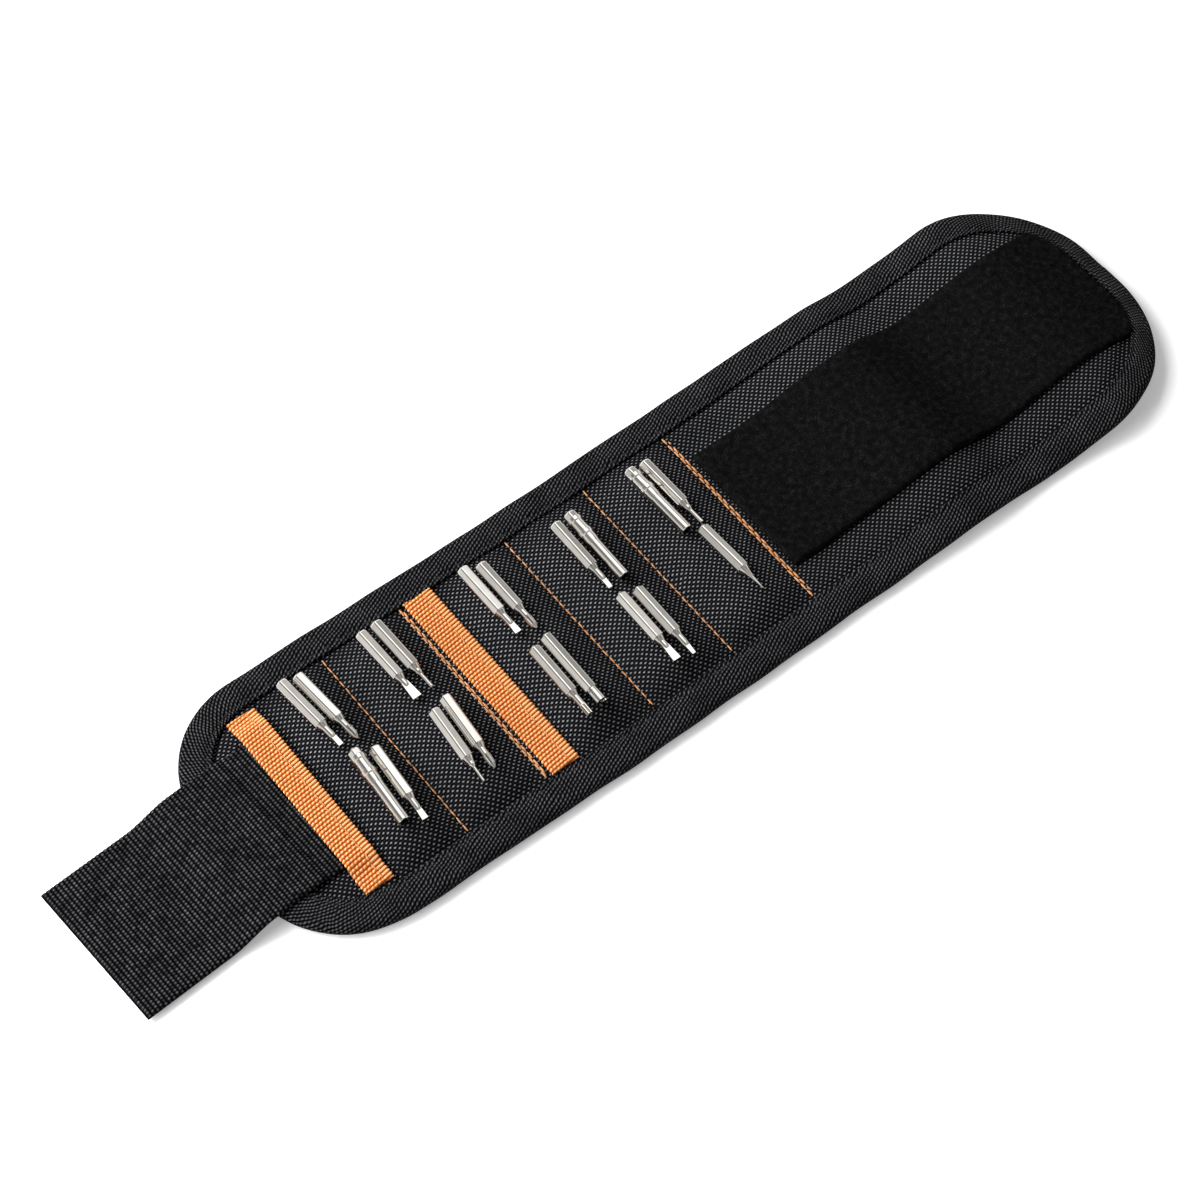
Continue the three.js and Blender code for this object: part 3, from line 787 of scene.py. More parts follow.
def metal_finish(name, dark, light, roughness, grain):
    """Plated metal with a fine grain along the part and a little tarnish."""
    material, tree, shader, _ = new_finish(name, roughness, 0.5)
    place = tree.nodes.new("ShaderNodeTexCoord").outputs["Object"]
    stretch = tree.nodes.new("ShaderNodeMapping")
    stretch.inputs["Scale"].default_value = (1, 0.06, 1)
    feed(tree, stretch.inputs["Vector"], place)
    drawn = mottle(tree, stretch.outputs["Vector"], grain, 3)
    tarnish = mottle(tree, place, 260, 1)
    feed(tree, shader.inputs["Base Color"], tint(tree, tarnish, dark, light))
    rough = reckon(tree, "MULTIPLY_ADD", drawn, 0.08, roughness - 0.04)
    feed(tree, shader.inputs["Roughness"], rough)
    emboss(tree, shader, drawn, 0.002 * MM)
    shader.inputs["Metallic"].default_value = 1
    return material


PILE = pile_finish()
AIR_MESH = mesh_finish()
HOOK = hook_finish()
BIT_STEEL = metal_finish("bit_steel", (0.60, 0.57, 0.525, 1), (0.72, 0.695, 0.65, 1), 0.14, 900)
MAGNET_PLATE = metal_finish("magnet", (0.20, 0.20, 0.21, 1), (0.33, 0.33, 0.34, 1), 0.4, 900)
print("finishes in all:", len(bpy.data.materials))

# %% [markdown]
# ## From a bmesh to a piece
#
# Every piece ends the same way: faces smoothed, UV map laid in millimetres, a mesh object at the origin
# with one finish and a name of its own. Closed sheets are made by extruding the flat grid downwards and
# keeping the top.

# %% Finishing helpers
LEVEL_GAP = 0.01 * MM


def lay_uv(bm, rule):
    """Lays a UV map in millimetres from a rule on each corner's place."""
    layer = bm.loops.layers.uv.verify()
    for face in bm.faces:
        for corner in face.loops:
            u, v = rule(corner.vert.co)
            corner[layer].uv = (u / MM, v / MM)


def plan_uv(place):
    """The simplest rule: a flat cloth's plan is its UV map, with the warp along the band."""
    return place.y, place.x


def verts_of(made):
    """The vertices that an operator made."""
    return [part for part in made["geom"] if isinstance(part, bmesh.types.BMVert)]


def close_below(bm, drop, along=None):
    """Extrudes the whole sheet down to drop(vert), which closes it.

    An underside that rises and falls only along one axis, 0 or 1, is merged into strips across that
    axis, with a crisp border.
    """
    made = bmesh.ops.extrude_face_region(bm, geom=list(bm.faces), use_keep_orig=True)
    under = verts_of(made)
    for vert in under:
        vert.co.z = drop(vert.co)
    if along is not None:
        below = set(under)
        inner = []
        for edge in bm.edges:
            first, last = edge.verts
            if first in below and last in below:
                if not all(vert in below for face in edge.link_faces for vert in face.verts):
                    edge.seam = True
                elif abs(last.co[along] - first.co[along]) > LEVEL_GAP:
                    inner.append(edge)
        bmesh.ops.dissolve_edges(bm, edges=inner, use_verts=True)
    bmesh.ops.recalc_face_normals(bm, faces=bm.faces)


def make_piece(name, bm, finish, crisp=None):
    """A smooth-shaded piece at the origin; seams stay sharp, and edges past the angle crisp."""
    for face in bm.faces:
        face.smooth = True
    mesh = bpy.data.meshes.new(name)
    bm.to_mesh(mesh)
    bm.free()
    if crisp is not None:
        mesh.set_sharp_from_angle(angle=crisp)
    for edge in mesh.edges:
        edge.use_edge_sharp = edge.use_edge_sharp or edge.use_seam
    mesh.materials.append(finish)
    piece = bpy.data.objects.new(name, mesh)
    bpy.context.scene.collection.objects.link(piece)
    return piece


def flat_grid(low, high, cell):
    """A flat grid between two corners in the plan, in cells of about a given length and width."""
    bm = bmesh.new()
    run = high[0] - low[0]
    width = high[1] - low[1]
    columns = max(2, round(run / cell[0]))
    rows = max(2, round(width / cell[1]))
    bmesh.ops.create_grid(bm, x_segments=columns, y_segments=rows, size=0.5)
    bmesh.ops.scale(bm, vec=(run, width, 1), verts=bm.verts)
    bmesh.ops.translate(bm, vec=((low[0] + high[0]) / 2, (low[1] + high[1]) / 2, 0), verts=bm.verts)
    return bm


def cloth_grid(x0, x1, half, cell):
    """A flat grid from x0 to x1 and half to each side, in square cells."""
    return flat_grid((x0, -half), (x1, half), (cell, cell))


def bend_at(piece, fold, zone):
    """Bakes the piece's place into its mesh and doesn't bend it; the fold and the zone are not used."""
    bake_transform(piece)


print("helpers for pieces ready")

# %% [markdown]
# ## Padded pocket covers
#
# Each pocket is a sheet of ballistic nylon over foam and a bar magnet, sewn down on all four sides.
# The foam pushes the cloth up, the stitches hold its edges, and the spare cloth puckers between
# them. A cloth simulation gives just that: the sheet is closed below, its sewn points are pinned,
# and pressure swells it. The solver is tuned for garments, so the pad is blown up at ten times its
# size and scaled back. The rise is then capped a hair under the bits that lie on the cover. No part
# of a cover is lower than the hinges, so two covers only part when the band is wrapped.

# %% Swelling a sewn sheet
SHOP_SCALE = 10
SHOP_FRAMES = 20
SHOP_DEPTH = 10 * MM
PAD_PRESSURE = 4
PAD_SPARE = 0.08


def swell(bm, sewn):
    """How far each vertex of a flat sheet rises when it is blown up between its sewn points."""
    count = len(bm.verts)
    pad = bm.copy()
    bmesh.ops.scale(pad, vec=(SHOP_SCALE,) * 3, verts=pad.verts)
    pins = pad.verts.layers.deform.verify()
    for vert in pad.verts:
        vert[pins][0] = 1.0 if sewn(vert.co / SHOP_SCALE) else 0.0
    made = bmesh.ops.extrude_face_region(pad, geom=list(pad.faces), use_keep_orig=True)
    for vert in verts_of(made):
        vert.co.z -= SHOP_DEPTH
        vert[pins][0] = 1.0
    bmesh.ops.recalc_face_normals(pad, faces=pad.faces)
    mesh = bpy.data.meshes.new("shop_pad")
    pad.to_mesh(mesh)
    pad.free()
    shop = bpy.data.objects.new("shop_pad", mesh)
    bpy.context.scene.collection.objects.link(shop)
    shop.vertex_groups.new(name="sewn")
    cloth = shop.modifiers.new("cloth", "CLOTH")
    cloth.settings.vertex_group_mass = "sewn"
    cloth.settings.use_pressure = True
    cloth.settings.uniform_pressure_force = PAD_PRESSURE
    cloth.settings.shrink_min = -PAD_SPARE
    cloth.settings.shrink_max = -PAD_SPARE
    cloth.settings.effector_weights.gravity = 0
    cloth.collision_settings.use_collision = False
    cloth.point_cache.frame_end = SHOP_FRAMES
    for step in range(1, SHOP_FRAMES + 1):
        bpy.context.scene.frame_set(step)
    blown = shop.evaluated_get(bpy.context.evaluated_depsgraph_get()).data
    rises = [blown.vertices[index].co.z / SHOP_SCALE for index in range(count)]
    bpy.context.scene.frame_set(1)
    bpy.data.objects.remove(shop)
    bpy.data.meshes.remove(mesh)
    return rises


def soft_least(first, second, width):
    """The lesser of two values, with a round corner where they cross."""
    gap = first - second
    return (first + second - math.sqrt(gap * gap + width * width)) / 2


# %% The five covers
COVER_CELL = 0.8 * MM
COVER_THICK = 0.75 * MM
COVER_UNDER = 45 * MM
CROWN_HALF = SEAM_HALF - 0.25 * MM
SEAT_ROOM = 0.08 * MM
SEAM_SINK = 0.12 * MM
CAP_ROUND = 0.3 * MM
FRAME_ROUND = (4, 8)
FOAM_ROUND = (2.3, 5)
PAINTED_SHADE_FROM = 24 * MM
SEAM_FLAT = 0.5 * MM
SEAM_SINK_RUN = 1.5 * MM
DOUBLE_SEAM_FLAT = 2.5 * MM
DOUBLE_SEAM_POCKET = 2


def pillow(number):
    """Where a pocket's pillow starts and ends, and how high the frame's crown is."""
    low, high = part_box(f"magnet_{number}")
    end = FOLDS[number]
    start = low.x + high.x - end
    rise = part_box(f"pocket_cover_{number}")[1].z - CLOTH_TOP
    return start, end, rise


def crown_at(x, y, start, end, rise, powers):
    """A crown that is full in the middle and nothing at the seams; higher powers make it boxier."""
    u = min(1, abs(2 * x - start - end) / (end - start))
    v = min(1, abs(y) / CROWN_HALF)
    return rise * (1 - u ** powers[0]) * (1 - v ** powers[1])


def pocket_cover(number):
    """One cover, swelled between its seams and capped under the bits."""
    start, end, rise = pillow(number)
    bm = cloth_grid(FOLDS[number - 1], end, COVER_UNDER, COVER_CELL)
    last = end - (DOUBLE_SEAM_FLAT if number == DOUBLE_SEAM_POCKET else SEAM_FLAT)
    first = start + SEAM_FLAT

    def sewn(place):
        """Whether the cover is sewn down at a place."""
        return place.x < first or place.x > last or abs(place.y) > CROWN_HALF - SEAM_FLAT

    heights = swell(bm, sewn)
    print("swelled", round(max(heights) / MM, 2), "mm of", round(rise / MM, 2))
    tight = bm.verts.layers.float.new("tight")
    for vert, height in zip(bm.verts, heights):
        # Painted shade, darker towards the cover's ends by the binding.
        vert[tight] = ease((abs(vert.co.y) - PAINTED_SHADE_FROM) / (CROWN_HALF - PAINTED_SHADE_FROM))
        cap = crown_at(vert.co.x, vert.co.y, first, last, rise, FRAME_ROUND)
        foam = crown_at(vert.co.x, vert.co.y, first, last, rise, FOAM_ROUND)
        seam = min(vert.co.x - FOLDS[number - 1], end - vert.co.x)
        sink = SEAM_SINK * (1 - ease(seam / SEAM_SINK_RUN))
        room = SEAT_ROOM * min(1, cap / MM)
        lift = 0 if sewn(vert.co) else soft_least(max(height, foam), cap + room, CAP_ROUND)
        vert.co.z = CLOTH_TOP - sink + lift
    close_below(bm, lambda place: max(place.z - COVER_THICK, FOLD_Z + HINGE_CLEAR))
    lay_uv(bm, plan_uv)
    piece = make_piece(f"pocket_cover_{number}_padded", bm, BALLISTIC)
    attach(piece, f"pocket_{number}")
    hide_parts(f"pocket_cover_{number}")
    return piece


for number in range(1, 6):
    cover = pocket_cover(number)
    print(cover.name, "is", round(cover.dimensions.z / MM, 2), "mm deep")

# %% [markdown]
# ## Flat cloth at the two ends
#
# At the strap end and at the loop end the same nylon lies flat, under the binding on the outside. A
# grid is drawn in to the band's rounded outline, and takes the loop end's wave. Near the binding
# the cloth stands up a little, because the tape pulls its edge down.

# %% Tail cloth and loop-end cloth
CLOTH_INSET = 1.5 * MM
CLOTH_THICK = 0.7 * MM
CLOTH_THIN = 0.25 * MM
CLOTH_CELL = 1.2 * MM
EDGE_SWELL = 0.45 * MM
CLOTH_RIPPLE = 0.12 * MM
CLOTH_SINK = 0.1 * MM
LOOP_BEND_ZONE = 20 * MM


def drawn_in(bm, inset, half):
    """Draws a grid's sides in to the band's outline."""
    for vert in bm.verts:
        vert.co.y *= half_at(vert.co.x, inset) / half


def cloth_depth(x):
    """The cloth's thickness, less at the two folds, where it stays above the hinge."""
    from_fold = min(abs(x - FOLDS[0]), abs(x - SEAM_FOLD))
    return CLOTH_THIN + (CLOTH_THICK - CLOTH_THIN) * ease(from_fold / CLOTH_CELL - 0.5)


def flat_cloth(name, x0, x1):
    """The nylon of one end, drawn to the band's outline, with painted shade that is darker on its lower
    half.
    """
    half = HALF_WIDTH - CLOTH_INSET
    bm = cloth_grid(x0, x1, half, CLOTH_CELL)
    drawn_in(bm, CLOTH_INSET, half)
    tight = bm.verts.layers.float.new("tight")
    for vert in bm.verts:
        # Painted shade: some on the upper half, more on the lower half.
        vert[tight] = 0.3 if vert.co.y > 0 else 0.65
        _, inset, _ = edge_place(vert.co.x, vert.co.y)
        past = (inset - (HALF_WIDTH - SEAM_HALF)) / MM
        swollen = EDGE_SWELL * ease(past / 2) * (1 - ease((past - 4) / 6))
        ripple = CLOTH_RIPPLE * noise.noise(vert.co * 90)
        level = CLOTH_TOP - CLOTH_SINK + loop_wave(vert.co.x, vert.co.y)
        vert.co.z = level + swollen + ripple * ease(past / 2)
    close_below(bm, lambda place: place.z - cloth_depth(place.x))
    lay_uv(bm, plan_uv)
    return make_piece(name, bm, BALLISTIC)


def outline_area(x0, x1, corner, half):
    """The area of a cut with two round corners."""
    return (x1 - x0) * 2 * half - 2 * corner * corner * (1 - math.pi / 4)


cloth_half = HALF_WIDTH - CLOTH_INSET
tail_cloth = flat_cloth("front_cloth_tail_sheet", BAND_LEFT + CLOTH_INSET, FOLDS[0])
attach(tail_cloth, "tail")
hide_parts("front_cloth_tail")
tail_area = outline_area(BAND_LEFT + CLOTH_INSET, FOLDS[0], TAIL_CORNER - CLOTH_INSET, cloth_half)

loop_cloth = flat_cloth("front_cloth_loop_sheet", SEAM_FOLD, BAND_RIGHT - CLOTH_INSET)
bend_at(loop_cloth, 6, LOOP_BEND_ZONE)
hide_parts("front_cloth_near", "front_cloth_far")
loop_area = outline_area(SEAM_FOLD, BAND_RIGHT - CLOTH_INSET, FAR_CORNER - CLOTH_INSET, cloth_half)

# %% [markdown]
# ## Padded mesh on the wrist side
#
# The back is a soft spacer mesh that lies against the skin. It is quilted by the same sewn rows, so
# each stretch is a shallow pad that bellies out towards the wrist. It is swelled like the covers,
# only upside down and less. Its edges rise towards the fold and end a little short of it, which
# leaves the pads room to close up when the band is wrapped.

# %% Back pads
MESH_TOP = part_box("back_mesh_1")[1].z
MESH_EDGE = MESH_TOP - 1.1 * MM
MESH_SEAM = MESH_TOP - 0.15 * MM
MESH_BELLY = 0.12 * MM
MESH_CELL = 1.5 * MM
MESH_PINCH = 2.4 * MM
BELLY_RUN = 5 * MM
MESH_FACE_INSET = HALF_WIDTH - SEAM_HALF + 0.5 * MM


def belly_at(place, x0, x1):
    """How far the pad may belly out below its edge, from nothing at its seams to most inside."""
    _, inset, _ = edge_place(place.x, place.y)
    from_seam = min(place.x - x0, x1 - place.x)
    from_edge = inset - MESH_FACE_INSET
    return (MESH_EDGE - MESH_BELLY) * ease(from_seam / BELLY_RUN) * ease(from_edge / BELLY_RUN)


def back_pad(name, x0, x1, seams):
    """One pad; seams are the folds that it is sewn at on its left and right, or None."""
    x0 += 0 if seams[0] is None else room_at(seams[0], MESH_SEAM)
    x1 -= 0 if seams[1] is None else room_at(seams[1], MESH_SEAM)
    half = HALF_WIDTH - CLOTH_INSET
    bm = cloth_grid(x0, x1, half, MESH_CELL)
    drawn_in(bm, CLOTH_INSET, half)
    seam_left = x0 - 1 if seams[0] is None else x0
    seam_right = x1 + 1 if seams[1] is None else x1

    def sewn(place):
        """Whether the pad is sewn down at a place."""
        _, inset, _ = edge_place(place.x, place.y)
        at_seam = min(place.x - seam_left, seam_right - place.x) < 0.4 * MESH_CELL
        return at_seam or inset < MESH_FACE_INSET

    rises = swell(bm, sewn)
    for vert, rise in zip(bm.verts, rises):
        belly = max(0, soft_least(rise, belly_at(vert.co, seam_left, seam_right), 0.2 * MM))
        from_seam = min(vert.co.x - seam_left, seam_right - vert.co.x)
        pinch = (MESH_SEAM - MESH_EDGE) * (1 - ease(from_seam / MESH_PINCH))
        vert.co.z = MESH_EDGE + pinch - belly + loop_wave(vert.co.x, vert.co.y)
    close_below(bm, lambda place: MESH_TOP + loop_wave(place.x, place.y))
    lay_uv(bm, plan_uv)
    piece = make_piece(name, bm, AIR_MESH)
    return piece


tail_pad = back_pad("back_mesh_tail_padded", BAND_LEFT + CLOTH_INSET, FOLDS[0], (None, 0))
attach(tail_pad, "tail")
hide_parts("back_mesh_tail")
for number in range(1, 6):
    pad = back_pad(f"back_mesh_{number}_padded", FOLDS[number - 1], FOLDS[number],
                   (number - 1, number))
    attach(pad, f"pocket_{number}")
    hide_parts(f"back_mesh_{number}")
loop_pad = back_pad("back_mesh_loop_padded", SEAM_FOLD, BAND_RIGHT - CLOTH_INSET, (5, None))
bend_at(loop_pad, 6, LOOP_BEND_ZONE)
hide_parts("back_mesh_near", "back_mesh_far")
print("back pads, the loop end's", round(loop_pad.dimensions.z / MM, 1), "mm deep")

# %% [markdown]
# ## The bound edge
#
# A ribbed tape is folded over the raw edge all round and sewn through. Its section is a C: a round
# outer edge, two flat faces, and a line where the stitches pull it in. The section is a few
# vertices, rounded by bevelling them, and spin carries it along: a spin with no angle runs straight,
# and one with an angle goes round a corner. The tape is cut in the middle of each pocket, where
# nothing bends, so that each length crosses only one fold.

# %% The binding's section
BINDING_STEP = 1.1 * MM
TAPE_THICK = 0.8 * MM
EDGE_ROUND = 2.15 * MM
BINDING_FACE = HALF_WIDTH - SEAM_HALF
STITCH_INSET = 8.7 * MM
FACE_CUTS = 16
FACE_CROWN = 0.3 * MM
STITCH_DIP = 0.35 * MM
STITCH_DIP_WIDTH = 0.6 * MM
FAR_FACE = 6.2 * MM
FOLD_INNER_ROUND = 0.9 * MM
TAPE_EDGE_ROUND = 0.3 * MM
BOW = 1.0 * MM
BOW_MIDDLE = -20 * MM
BOW_REACH = 65 * MM
ON_FACE = 0.05 * MM


def face_width(x, y):
    """How wide the tape's face is: it is drawn narrower round the far end."""
    if x < FAR_CENTRE[0]:
        return BINDING_FACE
    turn = math.atan2(x - FAR_CENTRE[0], max(0, abs(y) - FAR_CENTRE[1]))
    return BINDING_FACE + (FAR_FACE - BINDING_FACE) * ease(turn / (math.pi / 2))


def face_shape(inset):
    """How the tape's face stands off flat: a low crown, and a dip at the stitches."""
    share = (inset - EDGE_ROUND) / (BINDING_FACE - EDGE_ROUND)
    crown = FACE_CROWN * math.sin(math.pi * min(1, max(0, share)))
    dip = STITCH_DIP * math.exp(-((inset - STITCH_INSET) / STITCH_DIP_WIDTH) ** 2)
    return crown - dip


def binding_section(bm, x, side):
    """The folded tape, cut across at x on one side of the band."""
    corners = ((0, EDGE_TOP), (0, EDGE_LOW),
               (BINDING_FACE, EDGE_LOW), (BINDING_FACE, EDGE_LOW + TAPE_THICK),
               (TAPE_THICK, EDGE_LOW + TAPE_THICK), (TAPE_THICK, EDGE_TOP - TAPE_THICK),
               (BINDING_FACE, EDGE_TOP - TAPE_THICK), (BINDING_FACE, EDGE_TOP))
    verts = [bm.verts.new((x, side * (HALF_WIDTH - inset), up)) for inset, up in corners]
    for pair in zip(verts, verts[1:] + verts[:1]):
        bm.edges.new(pair)
    rounds = ((verts[0:2], EDGE_ROUND, 7), (verts[4:6], FOLD_INNER_ROUND, 3),
              ([verts[2], verts[3], verts[6], verts[7]], TAPE_EDGE_ROUND, 2))
    for group, radius, segments in rounds:
        bmesh.ops.bevel(bm, geom=group, offset=radius, offset_type="OFFSET", segments=segments,
                        profile=0.5, affect="VERTICES", material=-1)
    faces = [edge for edge in bm.edges if edge.calc_length() > BINDING_FACE / 2]
    bmesh.ops.subdivide_edges(bm, edges=faces, cuts=FACE_CUTS)
    for vert in bm.verts:
        inset = HALF_WIDTH - abs(vert.co.y)
        if vert.co.z > EDGE_TOP - ON_FACE:
            vert.co.z += face_shape(inset)
        elif vert.co.z < EDGE_LOW + ON_FACE:
            vert.co.z = max(ON_FACE, vert.co.z - 0.5 * face_shape(inset))
    return list(bm.verts) + list(bm.edges)


def straight(move):
    """A straight run for spin, as its settings."""
    steps = max(1, round(Vector(move).length / BINDING_STEP))
    return {"cent": (0, 0, 0), "dvec": Vector(move) / steps, "angle": 0, "steps": steps}


def quarter_turn(x, y, radius):
    """A quarter turn to the left about a corner's centre, as spin's settings."""
    steps = round(radius * math.pi / 2 / BINDING_STEP)
    return {"cent": (x, y, 0), "dvec": (0, 0, 0), "angle": math.pi / 2, "steps": steps}


def round_end(cut, centre, corner, side):
    """The runs round one end of the band, from a cut on one side to the cut across from it."""
    x, y = centre
    return (straight((x - cut, 0, 0)), quarter_turn(x, side * y, corner),
            straight((0, -2 * side * y, 0)), quarter_turn(x, -side * y, corner),
            straight((cut - x, 0, 0)))


def sweep(bm, section, runs):
    """Carries a section along its runs and closes both ends with crisp caps."""
    for run in runs:
        made = bmesh.ops.spin(bm, geom=section, axis=(0, 0, 1), use_duplicate=False, **run)
        section = made["geom_last"]
    ends = [edge for edge in bm.edges if edge.is_boundary]
    bmesh.ops.edgeloop_fill(bm, edges=ends)
    bmesh.ops.recalc_face_normals(bm, faces=bm.faces)
    for edge in ends:
        edge.smooth = False


# %% Wobble, weave and lengths of binding
END_BEND_ZONE = 7 * MM
POCKET_BEND_ZONE = 6 * MM
WOBBLE = 0.45 * MM
WOBBLE_RUN = 17 * MM
LINE_REACH = (BINDING_FACE - EDGE_ROUND) / FACE_CUTS / 2


def binding_uv(place, turn_back):
    """Along the edge in one direction all round, and round the tape's section."""
    run, inset, _ = edge_place(place.x, place.y)
    if place.y < 0:
        run = turn_back - run
    middle = (EDGE_LOW + EDGE_TOP) / 2
    rise = place.z - middle
    quarter = EDGE_ROUND * math.pi / 2
    if inset > EDGE_ROUND:
        return run, math.copysign(quarter + inset - EDGE_ROUND, rise)
    return run, EDGE_ROUND * math.atan2(rise, EDGE_ROUND - inset)


STITCH_LINES = {}
BINDING_BENDS = {}


def bend_binding(length, fold, zone):
    """Bakes a length of binding in place, and notes its fold and zone, for its stitches."""
    bend_at(length, fold, zone)
    BINDING_BENDS[length.name] = (fold, zone)


def binding_length(name, x, side, runs, replaced, turn_back=0):
    """One length of binding, from its start at x round its runs; keeps the line of its stitches."""
    bm = bmesh.new()
    sweep(bm, binding_section(bm, x, side), runs)
    lay_uv(bm, lambda place: binding_uv(place, turn_back))
    line = []
    for vert in bm.verts:
        run, inset, out = edge_place(vert.co.x, vert.co.y)
        side_seed = 3.7 if vert.co.y > 0 else 8.1
        shift = WOBBLE * noise.noise(Vector((run / WOBBLE_RUN, side_seed, 0)))
        drawn = (face_width(vert.co.x, vert.co.y) - EDGE_ROUND) / (BINDING_FACE - EDGE_ROUND)
        shift += max(0, inset - EDGE_ROUND) * (1 - drawn)
        on_line = vert.co.z > FOLD_Z and abs(inset - STITCH_INSET) < LINE_REACH
        order = binding_uv(vert.co, turn_back)[0]
        vert.co += out * shift
        vert.co.y -= BOW * math.exp(-((vert.co.x - BOW_MIDDLE) / BOW_REACH) ** 2)
        vert.co.z += loop_wave(vert.co.x, vert.co.y)
        if on_line and vert.co.z > EDGE_TOP - 0.6 * MM:
            line.append((order, vert.co.copy()))
    STITCH_LINES[name] = [place for _, place in sorted(line, key=lambda pair: pair[0])]
    piece = make_piece(name, bm, BINDING)
    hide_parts(*replaced)
    return piece


def middle_of(stretch):
    """The middle of a stretch that has a fold at each end."""
    return (FOLDS[stretch - 1] + FOLDS[stretch]) / 2


first_cut = middle_of(1)
last_cut = middle_of(6)
binding_tail = binding_length("binding_tail", first_cut, 1,
                              round_end(first_cut, TAIL_CENTRE, TAIL_CORNER, 1), ["tail_binding"])
bend_binding(binding_tail, 0, END_BEND_ZONE)
binding_far = binding_length("binding_far", last_cut, -1,
                             round_end(last_cut, FAR_CENTRE, FAR_CORNER, -1), ["far_binding"],
                             turn_back=2 * edge_place(BAND_RIGHT, 0)[0])
bend_binding(binding_far, 6, LOOP_BEND_ZONE)
for fold in range(1, 6):
    cut, next_cut = middle_of(fold), middle_of(fold + 1)
    for side, word in ((1, "upper"), (-1, "lower")):
        replaced = [f"{word}_binding_{fold}"]
        if fold == 5:
            replaced.append(f"{word}_binding_near")
        length = binding_length(f"binding_{word}_{fold}", cut, side,
                                [straight((next_cut - cut, 0, 0))], replaced)
        bend_binding(length, fold, END_BEND_ZONE if fold == 5 else POCKET_BEND_ZONE)
lengths = [bpy.data.objects[name] for name in BINDING_BENDS]
binding_faces = sum(len(piece.data.polygons) for piece in lengths)
print("binding in", len(lengths), "lengths,", binding_faces, "faces")

# %% [markdown]
# ## Webbing strap
#
# The strap is heavy nylon webbing: thick ribs across it, with a row of yarn crowns along each rib.
# It is sewn down under the orange tape, goes over the binding and falls to the table. At this size
# the ribs show in the outline, so they are real: a fine grid follows the strap's path, and each
# vertex is lifted by the rib it lies on. The underside is merged into plain strips, which takes far
# fewer faces.

# %% The strap's path
STRAP_SKEW = math.radians(3)
STRAP_OFFSET = 1.5 * MM
STRAP_HALF = 25.5 * MM
STRAP_THICK = 1.7 * MM
SEWN_END = FOLDS[0] - 1.85 * MM
STRAP_TIP = BAND_LEFT - 46.5 * MM
STRAP_LEVELS = ((STRAP_TIP, 1.45 * MM), (BAND_LEFT - 16.5 * MM, 1.45 * MM),
                (BAND_LEFT - 1.5 * MM, EDGE_TOP + 0.25 * MM), (BAND_LEFT + 16 * MM, EDGE_TOP + 0.25 * MM),
                (BAND_LEFT + 18.3 * MM, TRIM_LOW), (SEWN_END, TRIM_LOW))


def strap_level(x):
    """The underside of the strap at x, before it is skewed."""
    return eased_path(STRAP_LEVELS, x)


def skewed(bm):
    """Turns the strap about its sewn end and shifts it across the band."""
    place = Vector((SEWN_END, 0, 0))
    turn = Matrix.Translation(place + Vector((0, STRAP_OFFSET, 0))) @ Matrix.Rotation(STRAP_SKEW, 4, "Z")
    bmesh.ops.transform(bm, matrix=turn @ Matrix.Translation(-place), verts=bm.verts)


print("the strap is", round((SEWN_END - STRAP_TIP) / MM, 1), "mm long")

# %% The strap and its ribs
RIB_PITCH = 1.43 * MM
DOT_PITCH = 1.05 * MM
RIB_HEIGHT = 0.5 * MM
STRAP_EDGE_ROUND = 0.9 * MM
STRAP_EDGE_DROP = 0.6 * MM
STRAP_CELL = (0.26 * MM, 0.2 * MM)


def webbing_rib(x, y):
    """Height from 0 to 1 of the webbing, and how pale it is there."""
    count = x / RIB_PITCH
    number = math.floor(count + 0.5)
    place = y / DOT_PITCH + 0.5 * number
    rib = abs(math.cos(math.pi * count))
    dot = abs(math.cos(math.pi * place))
    bright = 0.75 + 0.7 * noise.noise(Vector((1.7 * number, 2.3 * math.floor(place + 0.5), 0.4)))
    return rib ** 0.7 * (0.7 + 0.3 * dot), rib ** 4 * (0.06 + 0.94 * dot ** 4) * max(0.1, bright)


def strap_webbing():
    """The strap, ribbed on top and plain below."""
    bm = flat_grid((STRAP_TIP, -STRAP_HALF), (SEWN_END, STRAP_HALF), STRAP_CELL)
    ribs = bm.verts.layers.float.new("rib")
    for vert in bm.verts:
        x, y = vert.co.x, vert.co.y
        rib, vert[ribs] = webbing_rib(x, y)
        from_side = min(STRAP_HALF - abs(y), x - STRAP_TIP)
        edge = 1 - ease(from_side / STRAP_EDGE_ROUND)
        vert.co.z = strap_level(x) + STRAP_THICK - RIB_HEIGHT * (1 - rib) - STRAP_EDGE_DROP * edge
    close_below(bm, lambda place: strap_level(place.x), along=0)
    lay_uv(bm, plan_uv)
    skewed(bm)
    piece = make_piece("strap_webbing_woven", bm, WEBBING)
    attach(piece, "tail")
    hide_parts("strap_webbing")
    return piece


strap = strap_webbing()
print("strap of", len(strap.data.polygons), "faces")

# %% [markdown]
# ## Hook tape
#
# Under the strap's free end is a patch of hook tape. The ground is a thin band, and the hooks are
# hundreds of small curved prongs. One prong is a square spun through part of a circle, which has
# only a dozen faces, and it is repeated in rows.

# %% Ground and prongs
HOOK_THICK = 0.55 * MM
HOOK_TOP = 1.2 * MM
HOOK_INSET = 1.2 * MM
HOOK_CELL = 1.4 * MM
HOOK_CURL = math.radians(125)
HOOK_PITCH = 1.7 * MM
PRONG = 0.22 * MM
PRONG_REACH = 0.42 * MM


